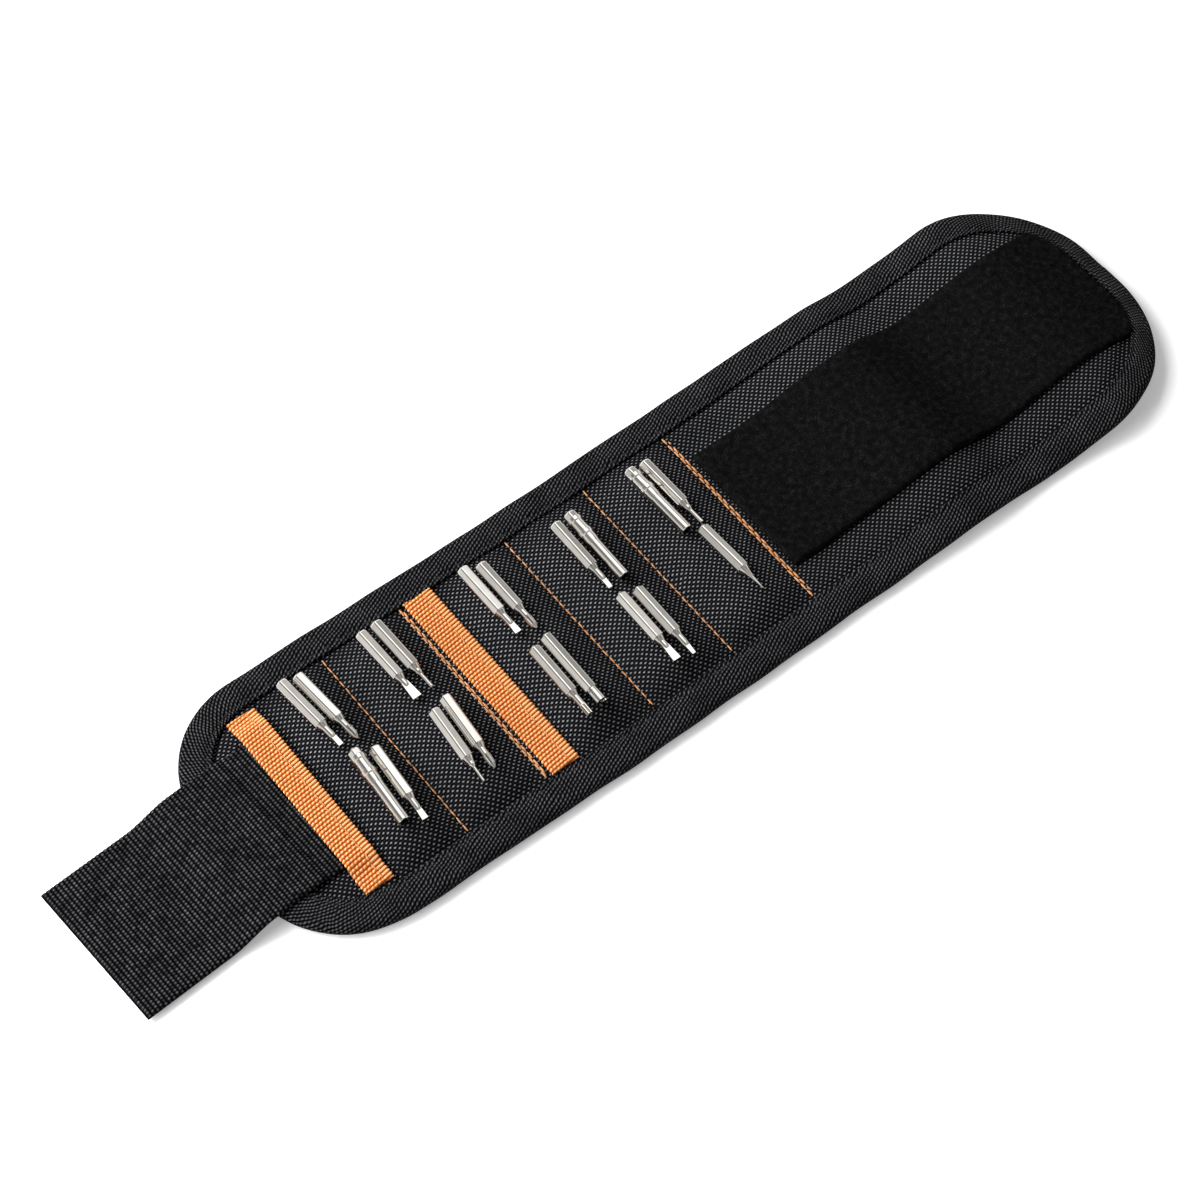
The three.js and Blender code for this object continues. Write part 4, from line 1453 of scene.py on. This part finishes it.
def hook_tape():
    """The ground of the hook tape and its rows of prongs."""
    x0, x1 = STRAP_TIP + HOOK_INSET, BAND_LEFT - 17 * MM
    half = STRAP_HALF - HOOK_INSET
    foot_level = HOOK_TOP - HOOK_THICK
    bm = cloth_grid(x0, x1, half, HOOK_CELL)
    bmesh.ops.translate(bm, vec=(0, 0, HOOK_TOP), verts=bm.verts)
    close_below(bm, lambda place: foot_level)
    columns = int((x1 - x0) / HOOK_PITCH)
    rows = int(2 * half / HOOK_PITCH)
    for column in range(columns):
        for row in range(rows):
            x = x0 + (column + 0.6) * HOOK_PITCH
            y = -half + (row + 0.5 + 0.25 * (column % 2)) * HOOK_PITCH
            foot = bmesh.ops.create_grid(bm, x_segments=1, y_segments=1, size=PRONG / 2,
                                         matrix=Matrix.Translation((x, y, foot_level)))["verts"]
            bmesh.ops.spin(bm, geom=foot[0].link_faces[:], cent=(x + PRONG_REACH, y, foot_level),
                           axis=(0, -1, 0), dvec=(0, 0, 0), angle=HOOK_CURL, steps=4,
                           use_duplicate=False)
    bmesh.ops.recalc_face_normals(bm, faces=bm.faces)
    lay_uv(bm, plan_uv)
    skewed(bm)
    piece = make_piece("hook_tape_prongs", bm, HOOK, crisp=math.radians(50))
    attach(piece, "tail")
    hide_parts("hook_tape")
    return piece


hooks = hook_tape()
lowest = min(vert.co.z for vert in hooks.data.vertices)
print("hook tape of", len(hooks.data.polygons), "faces, lowest", round(lowest / MM, 3), "mm")

# %% [markdown]
# ## Orange tapes
#
# Two bright tapes cross the band: one covers the strap's sewn end, one lies beside the third pocket. They
# are a coarse ribbed tape. On the left two thirds each rib is broken into beads by the yarns that run
# along the tape, and on the right the ribs are bare bars that end in loops. The beads are geometry too,
# and the rib height is kept as an attribute, so that the finish can paint shade into the gaps and a pale
# highlight onto the highest crowns.

# %% Beads and bars
TAPE_RIB = 1.27 * MM
TAPE_BEAD = 1.35 * MM
BEADED_WIDTH = 6.6 * MM
TAPE_RELIEF = 0.55 * MM
TAPE_SLANT = 0.12
TAPE_SCALLOP = 0.4 * MM
TAPE_CELL = (0.15 * MM, 0.19 * MM)
TAPE_FULL = 1.1 * MM
TAPE_EDGE_RUN = 0.7 * MM
TAPE_EDGE_DROP = 0.35 * MM
TAPE_LOOP = 0.9 * MM


def tape_rib(across, along, width):
    """Height from 0 to 1 of the ribbed tape at a place across and along it."""
    row = (along - TAPE_SLANT * across) / TAPE_RIB
    rib = abs(math.cos(math.pi * row)) ** 0.9
    number = math.floor(row + 0.5)
    if across < BEADED_WIDTH:
        bead = abs(math.cos(math.pi * (across / TAPE_BEAD + 0.5 * (number % 2)))) ** 0.8
        return rib * (0.4 + 0.6 * bead)
    valley = ease((across - BEADED_WIDTH) / TAPE_EDGE_RUN)
    end = math.sqrt(max(0, 1 - max(0, (across - width + TAPE_LOOP) / TAPE_LOOP) ** 2))
    return rib * (0.45 + 0.5 * min(valley, end))


def orange_tape(name, node, body, level):
    """One tape, ribbed on top; level(y) is the bed that it lies on."""
    low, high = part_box(node)
    width = high.x - low.x
    bm = flat_grid(low, high, TAPE_CELL)
    ribs = bm.verts.layers.float.new("rib")
    for vert in bm.verts:
        across, along = vert.co.x - low.x, vert.co.y - low.y
        rib = tape_rib(across, along, width)
        from_end = min(along, high.y - vert.co.y)
        edge = 1 - ease(min(across, from_end) / TAPE_EDGE_RUN)
        vert[ribs] = rib
        vert.co.z = level(vert.co.y) + TAPE_FULL - TAPE_RELIEF * (1 - rib) - TAPE_EDGE_DROP * edge
        waist = 1 - abs(math.cos(math.pi * (along - TAPE_SLANT * across) / TAPE_RIB))
        vert.co.x += TAPE_SCALLOP * waist * (1 - ease(across / TAPE_LOOP))
        vert.co.x -= TAPE_SCALLOP * waist * (1 - ease((width - across) / TAPE_LOOP))
    close_below(bm, lambda place: level(place.y), along=1)
    lay_uv(bm, plan_uv)
    piece = make_piece(name, bm, ORANGE)
    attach(piece, body)
    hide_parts(node)
    return piece


STEP_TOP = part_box("strap_cover_tape")[1].z - TAPE_FULL
STEP_OUTER = STRAP_HALF + 0.6 * MM
STEP_RISE = STEP_TOP - TRIM_LOW
STEP_RUN = 6 * MM


def over_strap(y):
    """The bed of the cover tape: on the cloth at its ends, on the strap between."""
    past = abs(y - STRAP_OFFSET) - STEP_OUTER
    return STEP_TOP - STEP_RISE * ease(past / STEP_RUN)


cover_tape = orange_tape("strap_cover_tape_ribbed", "strap_cover_tape", "tail", over_strap)
pocket_tape = orange_tape("pocket_tape_ribbed", "pocket_tape", "pocket_3", lambda y: TRIM_LOW)
print("orange tapes of", len(cover_tape.data.polygons), "and", len(pocket_tape.data.polygons), "faces")

# %% [markdown]
# ## Loop panel
#
# The wide panel is brushed loop pile, soft and nearly black, that the hook tape grips. A grid takes
# the panel's outline, its edges are rounded off and wander a little, and noise gives the brushed
# face its lumps. Single loops are finer than the grid, so the finish shows them as speckle and bumps.

# %% Pile ground
PANEL_LOW, PANEL_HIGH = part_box("loop_panel_near")
PANEL_LEFT = PANEL_LOW.x
PANEL_RIGHT = BAND_RIGHT - FAR_FACE - 0.4 * MM
PANEL_HALF = PANEL_HIGH.y
PANEL_TOP = PANEL_HIGH.z
PANEL_INSET = FAR_FACE + 0.4 * MM
PANEL_ROUND = 1.6 * MM
PANEL_CELL = 0.62 * MM
PANEL_WANDER = 0.5 * MM
PANEL_LUMPS = (0.28 * MM, 0.12 * MM)


def panel_half(x):
    """Half the panel's width at x: its side wanders and stays clear of the binding."""
    wander = PANEL_WANDER * noise.noise(Vector((x / (16 * MM), 0.3, 0)))
    return min(PANEL_HALF - 0.3 * MM + wander, half_at(x, PANEL_INSET))


def loop_panel():
    """The panel of pile, with rounded edges and a lumpy face."""
    bm = cloth_grid(PANEL_LEFT, PANEL_RIGHT, PANEL_HALF, PANEL_CELL)
    for vert in bm.verts:
        across = vert.co.y / PANEL_HALF
        half = panel_half(vert.co.x)
        vert.co.y = across * half
        from_edge = min((1 - abs(across)) * half, vert.co.x - PANEL_LEFT, PANEL_RIGHT - vert.co.x)
        share = max(0, min(1, from_edge / PANEL_ROUND))
        rounded = math.sqrt(1 - (1 - share) ** 2)
        lump = PANEL_LUMPS[0] * noise.noise(vert.co * 900) + PANEL_LUMPS[1] * noise.noise(vert.co * 2300)
        depth = (PANEL_TOP - TRIM_LOW - 0.3 * MM) * (0.25 + 0.75 * rounded)
        vert.co.z = TRIM_LOW + depth + lump * rounded + loop_wave(vert.co.x, vert.co.y)
    close_below(bm, lambda place: TRIM_LOW + loop_wave(place.x, place.y))
    lay_uv(bm, plan_uv)
    piece = make_piece("loop_panel_pile", bm, PILE)
    bend_at(piece, 6, LOOP_BEND_ZONE)
    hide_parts("loop_panel_near", "loop_panel_far")
    return piece


panel = loop_panel()
print("pile ground of", len(panel.data.polygons), "faces")

# %% [markdown]
# ## Stitches
#
# Orange thread quilts the pockets. A sewn row is a line of short stitches with a small gap between them,
# where the thread dives through the cloth. One stitch is a long thin ball with its ends bent down.

# %% One stitch and rows of them
STITCH_DIVE = 0.16 * MM
STITCH_SIDES = 8
STITCH_RINGS = 6
STITCH_FACES = STITCH_SIDES * STITCH_RINGS


def add_stitch(bm, place, heading, length, radius):
    """One stitch: a long thin ball, lying along its heading in the plan."""
    turn = Vector((0, 0, 1)).rotation_difference(heading)
    size = Matrix.Diagonal((radius, radius, length / 2, 1))
    matrix = Matrix.Translation(place) @ turn.to_matrix().to_4x4() @ size
    made = bmesh.ops.create_uvsphere(bm, u_segments=STITCH_SIDES, v_segments=STITCH_RINGS, radius=1,
                                     matrix=matrix, calc_uvs=False)
    for vert in made["verts"]:
        along = (vert.co - place).dot(heading) / (length / 2)
        vert.co.z -= STITCH_DIVE * along * along


def thread_uv(bm):
    """Lays the thread's UV map so that its plies slant along it."""
    lay_uv(bm, lambda place: (0.7 * place.x + place.z, place.y))


def stitched_row(bm, x, half, level, pitch, length, radius, wander, seed):
    """A row of stitches across the band at x."""
    draw = random.Random(seed)
    count = round(2 * half / pitch)
    for index in range(count):
        y = -half + (index + 0.5) * 2 * half / count
        place = Vector((x + draw.uniform(-wander, wander), y, level(y)))
        lean = draw.uniform(-0.06, 0.06)
        heading = Vector((lean, 1, 0)).normalized()
        add_stitch(bm, place, heading, length * draw.uniform(0.92, 1.04), radius)


# %% The quilting rows
ROW_HALF = 36.6 * MM
ROW_LEVEL = CLOTH_TOP + 0.12 * MM
ROW_PITCH = 3.0 * MM
ROW_STITCH = 2.85 * MM
ROW_THREAD = 0.26 * MM
DOUBLE_THREAD = 0.34 * MM
ROW_WANDER = 0.07 * MM
ROW_BEND_ZONE = 3 * MM
QUILT_ROWS = {1: (0,), 2: (-1.15 * MM, -0.5 * MM), 3: (0,), 4: (0,), 5: (0, 0.75 * MM)}


def quilting(fold, offsets):
    """The rows at one fold; the second of a pair starts half a stitch later, like a rope."""
    bm = bmesh.new()
    thread = ROW_THREAD if len(offsets) == 1 else DOUBLE_THREAD
    for number, offset in enumerate(offsets):
        half = ROW_HALF - number * ROW_PITCH / 2
        stitched_row(bm, FOLDS[fold] + offset, half, lambda y: ROW_LEVEL, ROW_PITCH, ROW_STITCH,
                     thread, ROW_WANDER, seed=10 * fold + number)
    thread_uv(bm)
    return make_piece(f"quilting_{fold}", bm, ORANGE_THREAD)


for fold, offsets in QUILT_ROWS.items():
    row = quilting(fold, offsets)
    bend_at(row, fold, ROW_BEND_ZONE)
    print(row.name, "has", len(row.data.polygons) // STITCH_FACES, "stitches")

# %% Stitches on the orange tapes
TAPE_STITCH_ACROSS = 6.7 * MM
TAPE_STITCH_SINK = 0.05 * MM
TAPE_STITCH_PITCH = 3.1 * MM
TAPE_STITCH = 3.0 * MM
TAPE_THREAD = 0.17 * MM
TAPE_STITCH_WANDER = 0.05 * MM


def tape_stitching(name, node, body, level):
    """The row along one orange tape."""
    low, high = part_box(node)
    half = (high.y - low.y) / 2 - 1 * MM
    bm = bmesh.new()
    stitched_row(bm, low.x + TAPE_STITCH_ACROSS, half,
                 lambda y: level(y) + TAPE_FULL - TAPE_STITCH_SINK, TAPE_STITCH_PITCH,
                 TAPE_STITCH, TAPE_THREAD, TAPE_STITCH_WANDER, seed=77)
    thread_uv(bm)
    piece = make_piece(name, bm, ORANGE_THREAD)
    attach(piece, body)
    return piece


tape_rows = (tape_stitching("strap_cover_stitching", "strap_cover_tape", "tail", over_strap),
             tape_stitching("pocket_tape_stitching", "pocket_tape", "pocket_3", lambda y: TRIM_LOW))
for row in tape_rows:
    print(row.name, "has", len(row.data.polygons) // STITCH_FACES, "stitches")

# %% [markdown]
# The binding is sewn down with black thread a little way in from its edge, so its stitches show only
# as a row of small dents. They lie on the line of vertices that was kept when the binding was swept.

# %% Stitches round the binding
BINDING_STITCH_STEPS = 3
BINDING_STITCH_RISE = Vector((0, 0, 0.04 * MM))
BINDING_THREAD = 0.2 * MM


def binding_stitching(name):
    """Black stitches along the kept line of one length of binding."""
    places = STITCH_LINES[name]
    bm = bmesh.new()
    for index in range(1, len(places) - BINDING_STITCH_STEPS, BINDING_STITCH_STEPS + 1):
        first, last = places[index], places[index + BINDING_STITCH_STEPS]
        along = last - first
        middle = (last + first) / 2 + BINDING_STITCH_RISE
        add_stitch(bm, middle, along.normalized(), along.length, BINDING_THREAD)
    thread_uv(bm)
    return make_piece(name + "_stitching", bm, BLACK_THREAD)


for name, (fold, zone) in BINDING_BENDS.items():
    stitches = binding_stitching(name)
    bend_at(stitches, fold, zone)
    print(stitches.name, "has", len(stitches.data.polygons) // STITCH_FACES, "stitches")

# %% [markdown]
# ## Driver bits
#
# The bits are small plated steel rods: a hexagon shank, a turned shoulder and neck, and a tip. Each
# is rebuilt standing up and then laid on the line that its CAD node has, from the middle of its head
# to the middle of its tip. Hexagons are circles of six sides that are extruded, their edges bevelled
# so that they catch the light. Turned parts are an outline spun round the axis.

# %% Shank, turned parts and tips
BIT_LENGTH = 28 * MM
BIT_FLATS = 4 * MM
SHANK_LENGTH = 19 * MM
SHOULDER = 1.8 * MM
NECK = 1.15 * MM
NECK_START = SHANK_LENGTH + 1.7 * MM
TURNED_STEPS = 32
LONG_EDGE_ROUND = 0.4 * MM
HEAD_ROUND = ((0.7 * MM, 0.26 * MM), (0.22 * MM, 0.42 * MM))
FLAT_LEAST = 1 * MM
SHANK_LENGTHS = {"socket": 3.4 * MM, "notched": BIT_LENGTH - 5 * MM}
WIDE_BLADE = 2.3 * MM
WIDE_BLADE_LENGTH = 5.6 * MM
BLADE_LENGTH = 4.2 * MM
CROSS_LENGTH = 4.6 * MM
CROSS_RADIUS = 1.35 * MM
CROSS_POINT = 1.7 * MM
STAR_LENGTH = 3.5 * MM
STAR_RADIUS = 1.05 * MM
PIN_LENGTH = 6 * MM
NEEDLE_LENGTH = 4.5 * MM
SOCKET_COLLAR, SOCKET_BARREL, SOCKET_TUBE = 2.55 * MM, 2.2 * MM, 1.95 * MM
SOCKET_COLLARS = (2.6 * MM, 8.2 * MM)
SOCKET_LIP = 0.15 * MM
SOCKET_APOTHEM = 1.25 * MM
SOCKET_DEPTH = 4 * MM
NOTCH_HALF = 0.5 * MM


def prism(bm, segments, radius, z0, z1, turn=0.0):
    """An upright prism; gives its lower and upper vertices."""
    base = bmesh.ops.create_circle(bm, cap_ends=True, segments=segments, radius=radius)["verts"]
    bmesh.ops.rotate(bm, verts=base, cent=(0, 0, 0), matrix=Matrix.Rotation(turn, 3, "Z"))
    bmesh.ops.translate(bm, vec=(0, 0, z0), verts=base)
    face = base[0].link_faces[0]
    top = verts_of(bmesh.ops.extrude_face_region(bm, geom=[face], use_keep_orig=True))
    bmesh.ops.translate(bm, vec=(0, 0, z1 - z0), verts=top)
    return base, top


def end_face(verts):
    """The face that closes a prism at one end."""
    return next(face for face in verts[0].link_faces if all(vert in verts for vert in face.verts))


def long_edges(base, top):
    """The edges between a prism's two ends."""
    return [edge for vert in base for edge in vert.link_edges if edge.other_vert(vert) in top]


def fluted(verts, share):
    """Draws a prism's sides in or out by share(turn) about the axis."""
    for vert in verts:
        scale = share(math.atan2(vert.co.y, vert.co.x))
        vert.co.x *= scale
        vert.co.y *= scale


def soften(bm, edges, width, segments=1):
    """Bevels edges, flat or rounded."""
    bmesh.ops.bevel(bm, geom=edges, offset=width, offset_type="OFFSET", segments=segments,
                    profile=0.5, affect="EDGES", material=-1)


def hex_shank(bm, length, roll):
    """The shank: a flat up, but rolled a little, with a rounded head and rounded long edges."""
    base, top = prism(bm, 6, BIT_FLATS / math.sqrt(3), 0, length, math.radians(30) + roll)
    soften(bm, long_edges(base, top), LONG_EDGE_ROUND, segments=4)
    for face in bm.faces:
        if face.calc_area() > length * FLAT_LEAST:
            for edge in face.edges:
                edge.seam = True
    head = next(face for face in bm.faces if all(vert.co.z < LEVEL_GAP for vert in face.verts))
    for rise, drawn in HEAD_ROUND:
        bmesh.ops.translate(bm, vec=(0, 0, rise), verts=head.verts)
        bmesh.ops.inset_region(bm, faces=[head], thickness=drawn)
        for vert in head.verts:
            vert.co.z = 0


def turned(bm, outline):
    """A round solid: its outline of radius and height, spun about the axis."""
    points = [(0, outline[0][1])] + list(outline) + [(0, outline[-1][1])]
    chain = [bm.verts.new((radius, 0, height)) for radius, height in points]
    edges = [bm.edges.new(pair) for pair in zip(chain, chain[1:])]
    bmesh.ops.spin(bm, geom=chain + edges, cent=(0, 0, 0), axis=(0, 0, 1), dvec=(0, 0, 0),
                   angle=2 * math.pi, steps=TURNED_STEPS, use_merge=True, use_duplicate=False)
    bmesh.ops.remove_doubles(bm, verts=bm.verts, dist=0.001 * MM)


def neck(bm, *rest):
    """Shoulder and neck, with the rest of the turned outline after them."""
    turned(bm, ((SHOULDER, SHANK_LENGTH - 1 * MM), (SHOULDER, SHANK_LENGTH + 0.2 * MM),
                (SHOULDER - 0.12 * MM, SHANK_LENGTH + 0.4 * MM), (NECK + 0.1 * MM, NECK_START - 0.2 * MM),
                (NECK, NECK_START)) + rest)


def slotted_bit(bm, tip):
    """A flat blade as wide and thick as the CAD's tip."""
    start = BIT_LENGTH - (WIDE_BLADE_LENGTH if tip.x > WIDE_BLADE else BLADE_LENGTH)
    neck(bm, (NECK, start), (NECK - 0.25 * MM, start + 0.9 * MM))
    base, top = prism(bm, 4, 1.0, start - 0.6 * MM, BIT_LENGTH, math.radians(45))
    side = math.sqrt(0.5)
    bmesh.ops.scale(bm, vec=(max(0.8 * MM, 0.36 * tip.x) / side, 0.75 * MM / side, 1), verts=base)
    bmesh.ops.scale(bm, vec=(tip.x / 2 / side, tip.z / 2 / side, 1), verts=top)
    soften(bm, long_edges(base, top), 0.06 * MM)


def cross_bit(bm, tip):
    """Four wings that end in a point."""
    start = BIT_LENGTH - CROSS_LENGTH
    neck(bm, (NECK, start), (0.9 * MM, start + 0.5 * MM))
    base, top = prism(bm, 24, CROSS_RADIUS, start - 0.3 * MM, BIT_LENGTH - CROSS_POINT)
    fluted(list(base) + list(top), lambda turn: 0.55 + 0.45 * abs(math.cos(2 * turn)) ** 1.5)
    bmesh.ops.scale(bm, vec=(0.85, 0.85, 1), verts=top)
    point = verts_of(bmesh.ops.extrude_face_region(bm, geom=[end_face(top)]))
    bmesh.ops.translate(bm, vec=(0, 0, CROSS_POINT), verts=point)
    bmesh.ops.scale(bm, vec=(0.2, 0.2, 1), verts=point)


def star_bit(bm, tip):
    """Six round lobes."""
    start = BIT_LENGTH - STAR_LENGTH
    neck(bm, (NECK, start))
    base, top = prism(bm, 36, STAR_RADIUS, start - 0.5 * MM, BIT_LENGTH)
    fluted(list(base) + list(top), lambda turn: 1 + 0.16 * math.cos(6 * turn))
    bmesh.ops.scale(bm, vec=(0.93, 0.93, 1), verts=top)


def pin_bit(bm, tip):
    """A round pin as thick as the CAD's tip."""
    start = BIT_LENGTH - PIN_LENGTH
    radius = tip.x / 2
    neck(bm, (NECK, start - 0.4 * MM), (radius, start + 0.5 * MM), (radius, BIT_LENGTH - 0.2 * MM),
         (radius - 0.15 * MM, BIT_LENGTH))


def needle_bit(bm, tip):
    """A long point."""
    neck(bm, (0.55 * MM, BIT_LENGTH - NEEDLE_LENGTH), (0.12 * MM, BIT_LENGTH))


def socket_bit(bm, tip):
    """Two narrow collars on a barrel, then a tube with a hexagon hollow in its end."""
    collar, barrel, tube = SOCKET_COLLAR, SOCKET_BARREL, SOCKET_TUBE
    first, second = SOCKET_COLLARS
    outline = [(barrel - 0.3 * MM, first - 0.3 * MM)]
    for start in SOCKET_COLLARS:
        outline += [(collar - 0.2 * MM, start), (collar, start + 0.2 * MM), (collar, start + 1.4 * MM),
                    (collar - 0.2 * MM, start + 1.6 * MM), (barrel, start + 1.8 * MM),
                    (barrel, start + 3.6 * MM)]
    turned(bm, outline + [(tube, second + 5.2 * MM)])
    _, end = prism(bm, 36, tube, second + 4.9 * MM, BIT_LENGTH - SOCKET_LIP)
    face = end_face(end)
    bmesh.ops.inset_region(bm, faces=[face], thickness=SOCKET_LIP, depth=SOCKET_LIP)
    bmesh.ops.inset_region(bm, faces=[face], thickness=0.5 * MM)
    for vert in face.verts:
        turn = math.atan2(vert.co.y, vert.co.x)
        reach = SOCKET_APOTHEM / math.cos((turn + math.pi / 6) % (math.pi / 3) - math.pi / 6)
        vert.co.x = reach * math.cos(turn)
        vert.co.y = reach * math.sin(turn)
    floor_of_hole = bmesh.ops.extrude_discrete_faces(bm, faces=[face])["faces"][0]
    bmesh.ops.translate(bm, vec=(0, 0, -SOCKET_DEPTH), verts=floor_of_hole.verts)


def notched_bit(bm, tip):
    """A round end with a slot across it, made as two prongs."""
    start = SHANK_LENGTHS["notched"]
    turned(bm, ((SHOULDER, start - 1 * MM), (SHOULDER, start + 1 * MM)))
    for side in (1, -1):
        base, top = prism(bm, 32, SHOULDER, start + 0.5 * MM, BIT_LENGTH)
        prong = set(base) | set(top)
        geometry = list(prong) + [e for e in bm.edges if e.verts[0] in prong and e.verts[1] in prong]
        geometry += [f for f in bm.faces if all(vert in prong for vert in f.verts)]
        cut = bmesh.ops.bisect_plane(bm, geom=geometry, plane_co=(0, side * NOTCH_HALF, 0),
                                     plane_no=(0, -side, 0), clear_outer=True)
        rim = [part for part in cut["geom_cut"] if isinstance(part, bmesh.types.BMEdge)]
        bmesh.ops.edgeloop_fill(bm, edges=rim)


BIT_KINDS = {"slotted": slotted_bit, "cross": cross_bit, "star": star_bit, "pin": pin_bit,
             "needle": needle_bit, "socket": socket_bit, "notched": notched_bit}
print("bit kinds:", ", ".join(BIT_KINDS))

# %% Laying the bits on their nodes
END_SLICE = 0.5 * MM
BIT_ROLL = (math.radians(10), math.radians(18))


def bit_line(node):
    """The middle of a CAD bit's head, the middle of its tip and the tip's size."""
    places = [vert.co for vert in frame["nodes"][node].data.vertices]
    top = max(place.y for place in places)
    bottom = min(place.y for place in places)
    head = [place for place in places if place.y > top - END_SLICE]
    tip = [place for place in places if place.y < bottom + END_SLICE]
    size = Vector([max(p[axis] for p in tip) - min(p[axis] for p in tip) for axis in range(3)])
    return sum(head, Vector()) / len(head), sum(tip, Vector()) / len(tip), size


def lay_bit(node):
    """One bit, built standing up on its shank and laid on the line of its CAD node."""
    _, number, kind = node.split("_")
    head, tip, size = bit_line(node)
    bm = bmesh.new()
    roll = random.Random(number).uniform(*BIT_ROLL)
    hex_shank(bm, SHANK_LENGTHS.get(kind, SHANK_LENGTH), roll)
    BIT_KINDS[kind](bm, size)
    bmesh.ops.recalc_face_normals(bm, faces=bm.faces)
    axis = (tip - head).normalized()
    across = axis.cross(Vector((0, 0, 1))).normalized()
    place = Matrix((-across, axis.cross(across), axis)).transposed().to_4x4()
    place.translation = head
    bmesh.ops.transform(bm, matrix=place, verts=bm.verts)
    bmesh.ops.recalc_face_normals(bm, faces=bm.faces)
    lay_uv(bm, plan_uv)
    piece = make_piece(node + "_plated", bm, BIT_STEEL, crisp=math.radians(17))
    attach(piece, f"bit_{number}")
    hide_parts(node)
    return piece


bits = [lay_bit(node) for node in sorted(frame["nodes"]) if node.startswith("bit_")]
print(len(bits), "bits of", sum(len(bit.data.polygons) for bit in bits), "faces")

# %% [markdown]
# ## What stays from the frame
#
# The bar magnets lie inside their pockets. Their CAD shape is right, so they only get a finish.

# %% Magnets
for number in range(1, 6):
    magnet = frame["nodes"][f"magnet_{number}"]
    magnet.data.materials.clear()
    magnet.data.materials.append(MAGNET_PLATE)
print("magnets finished")
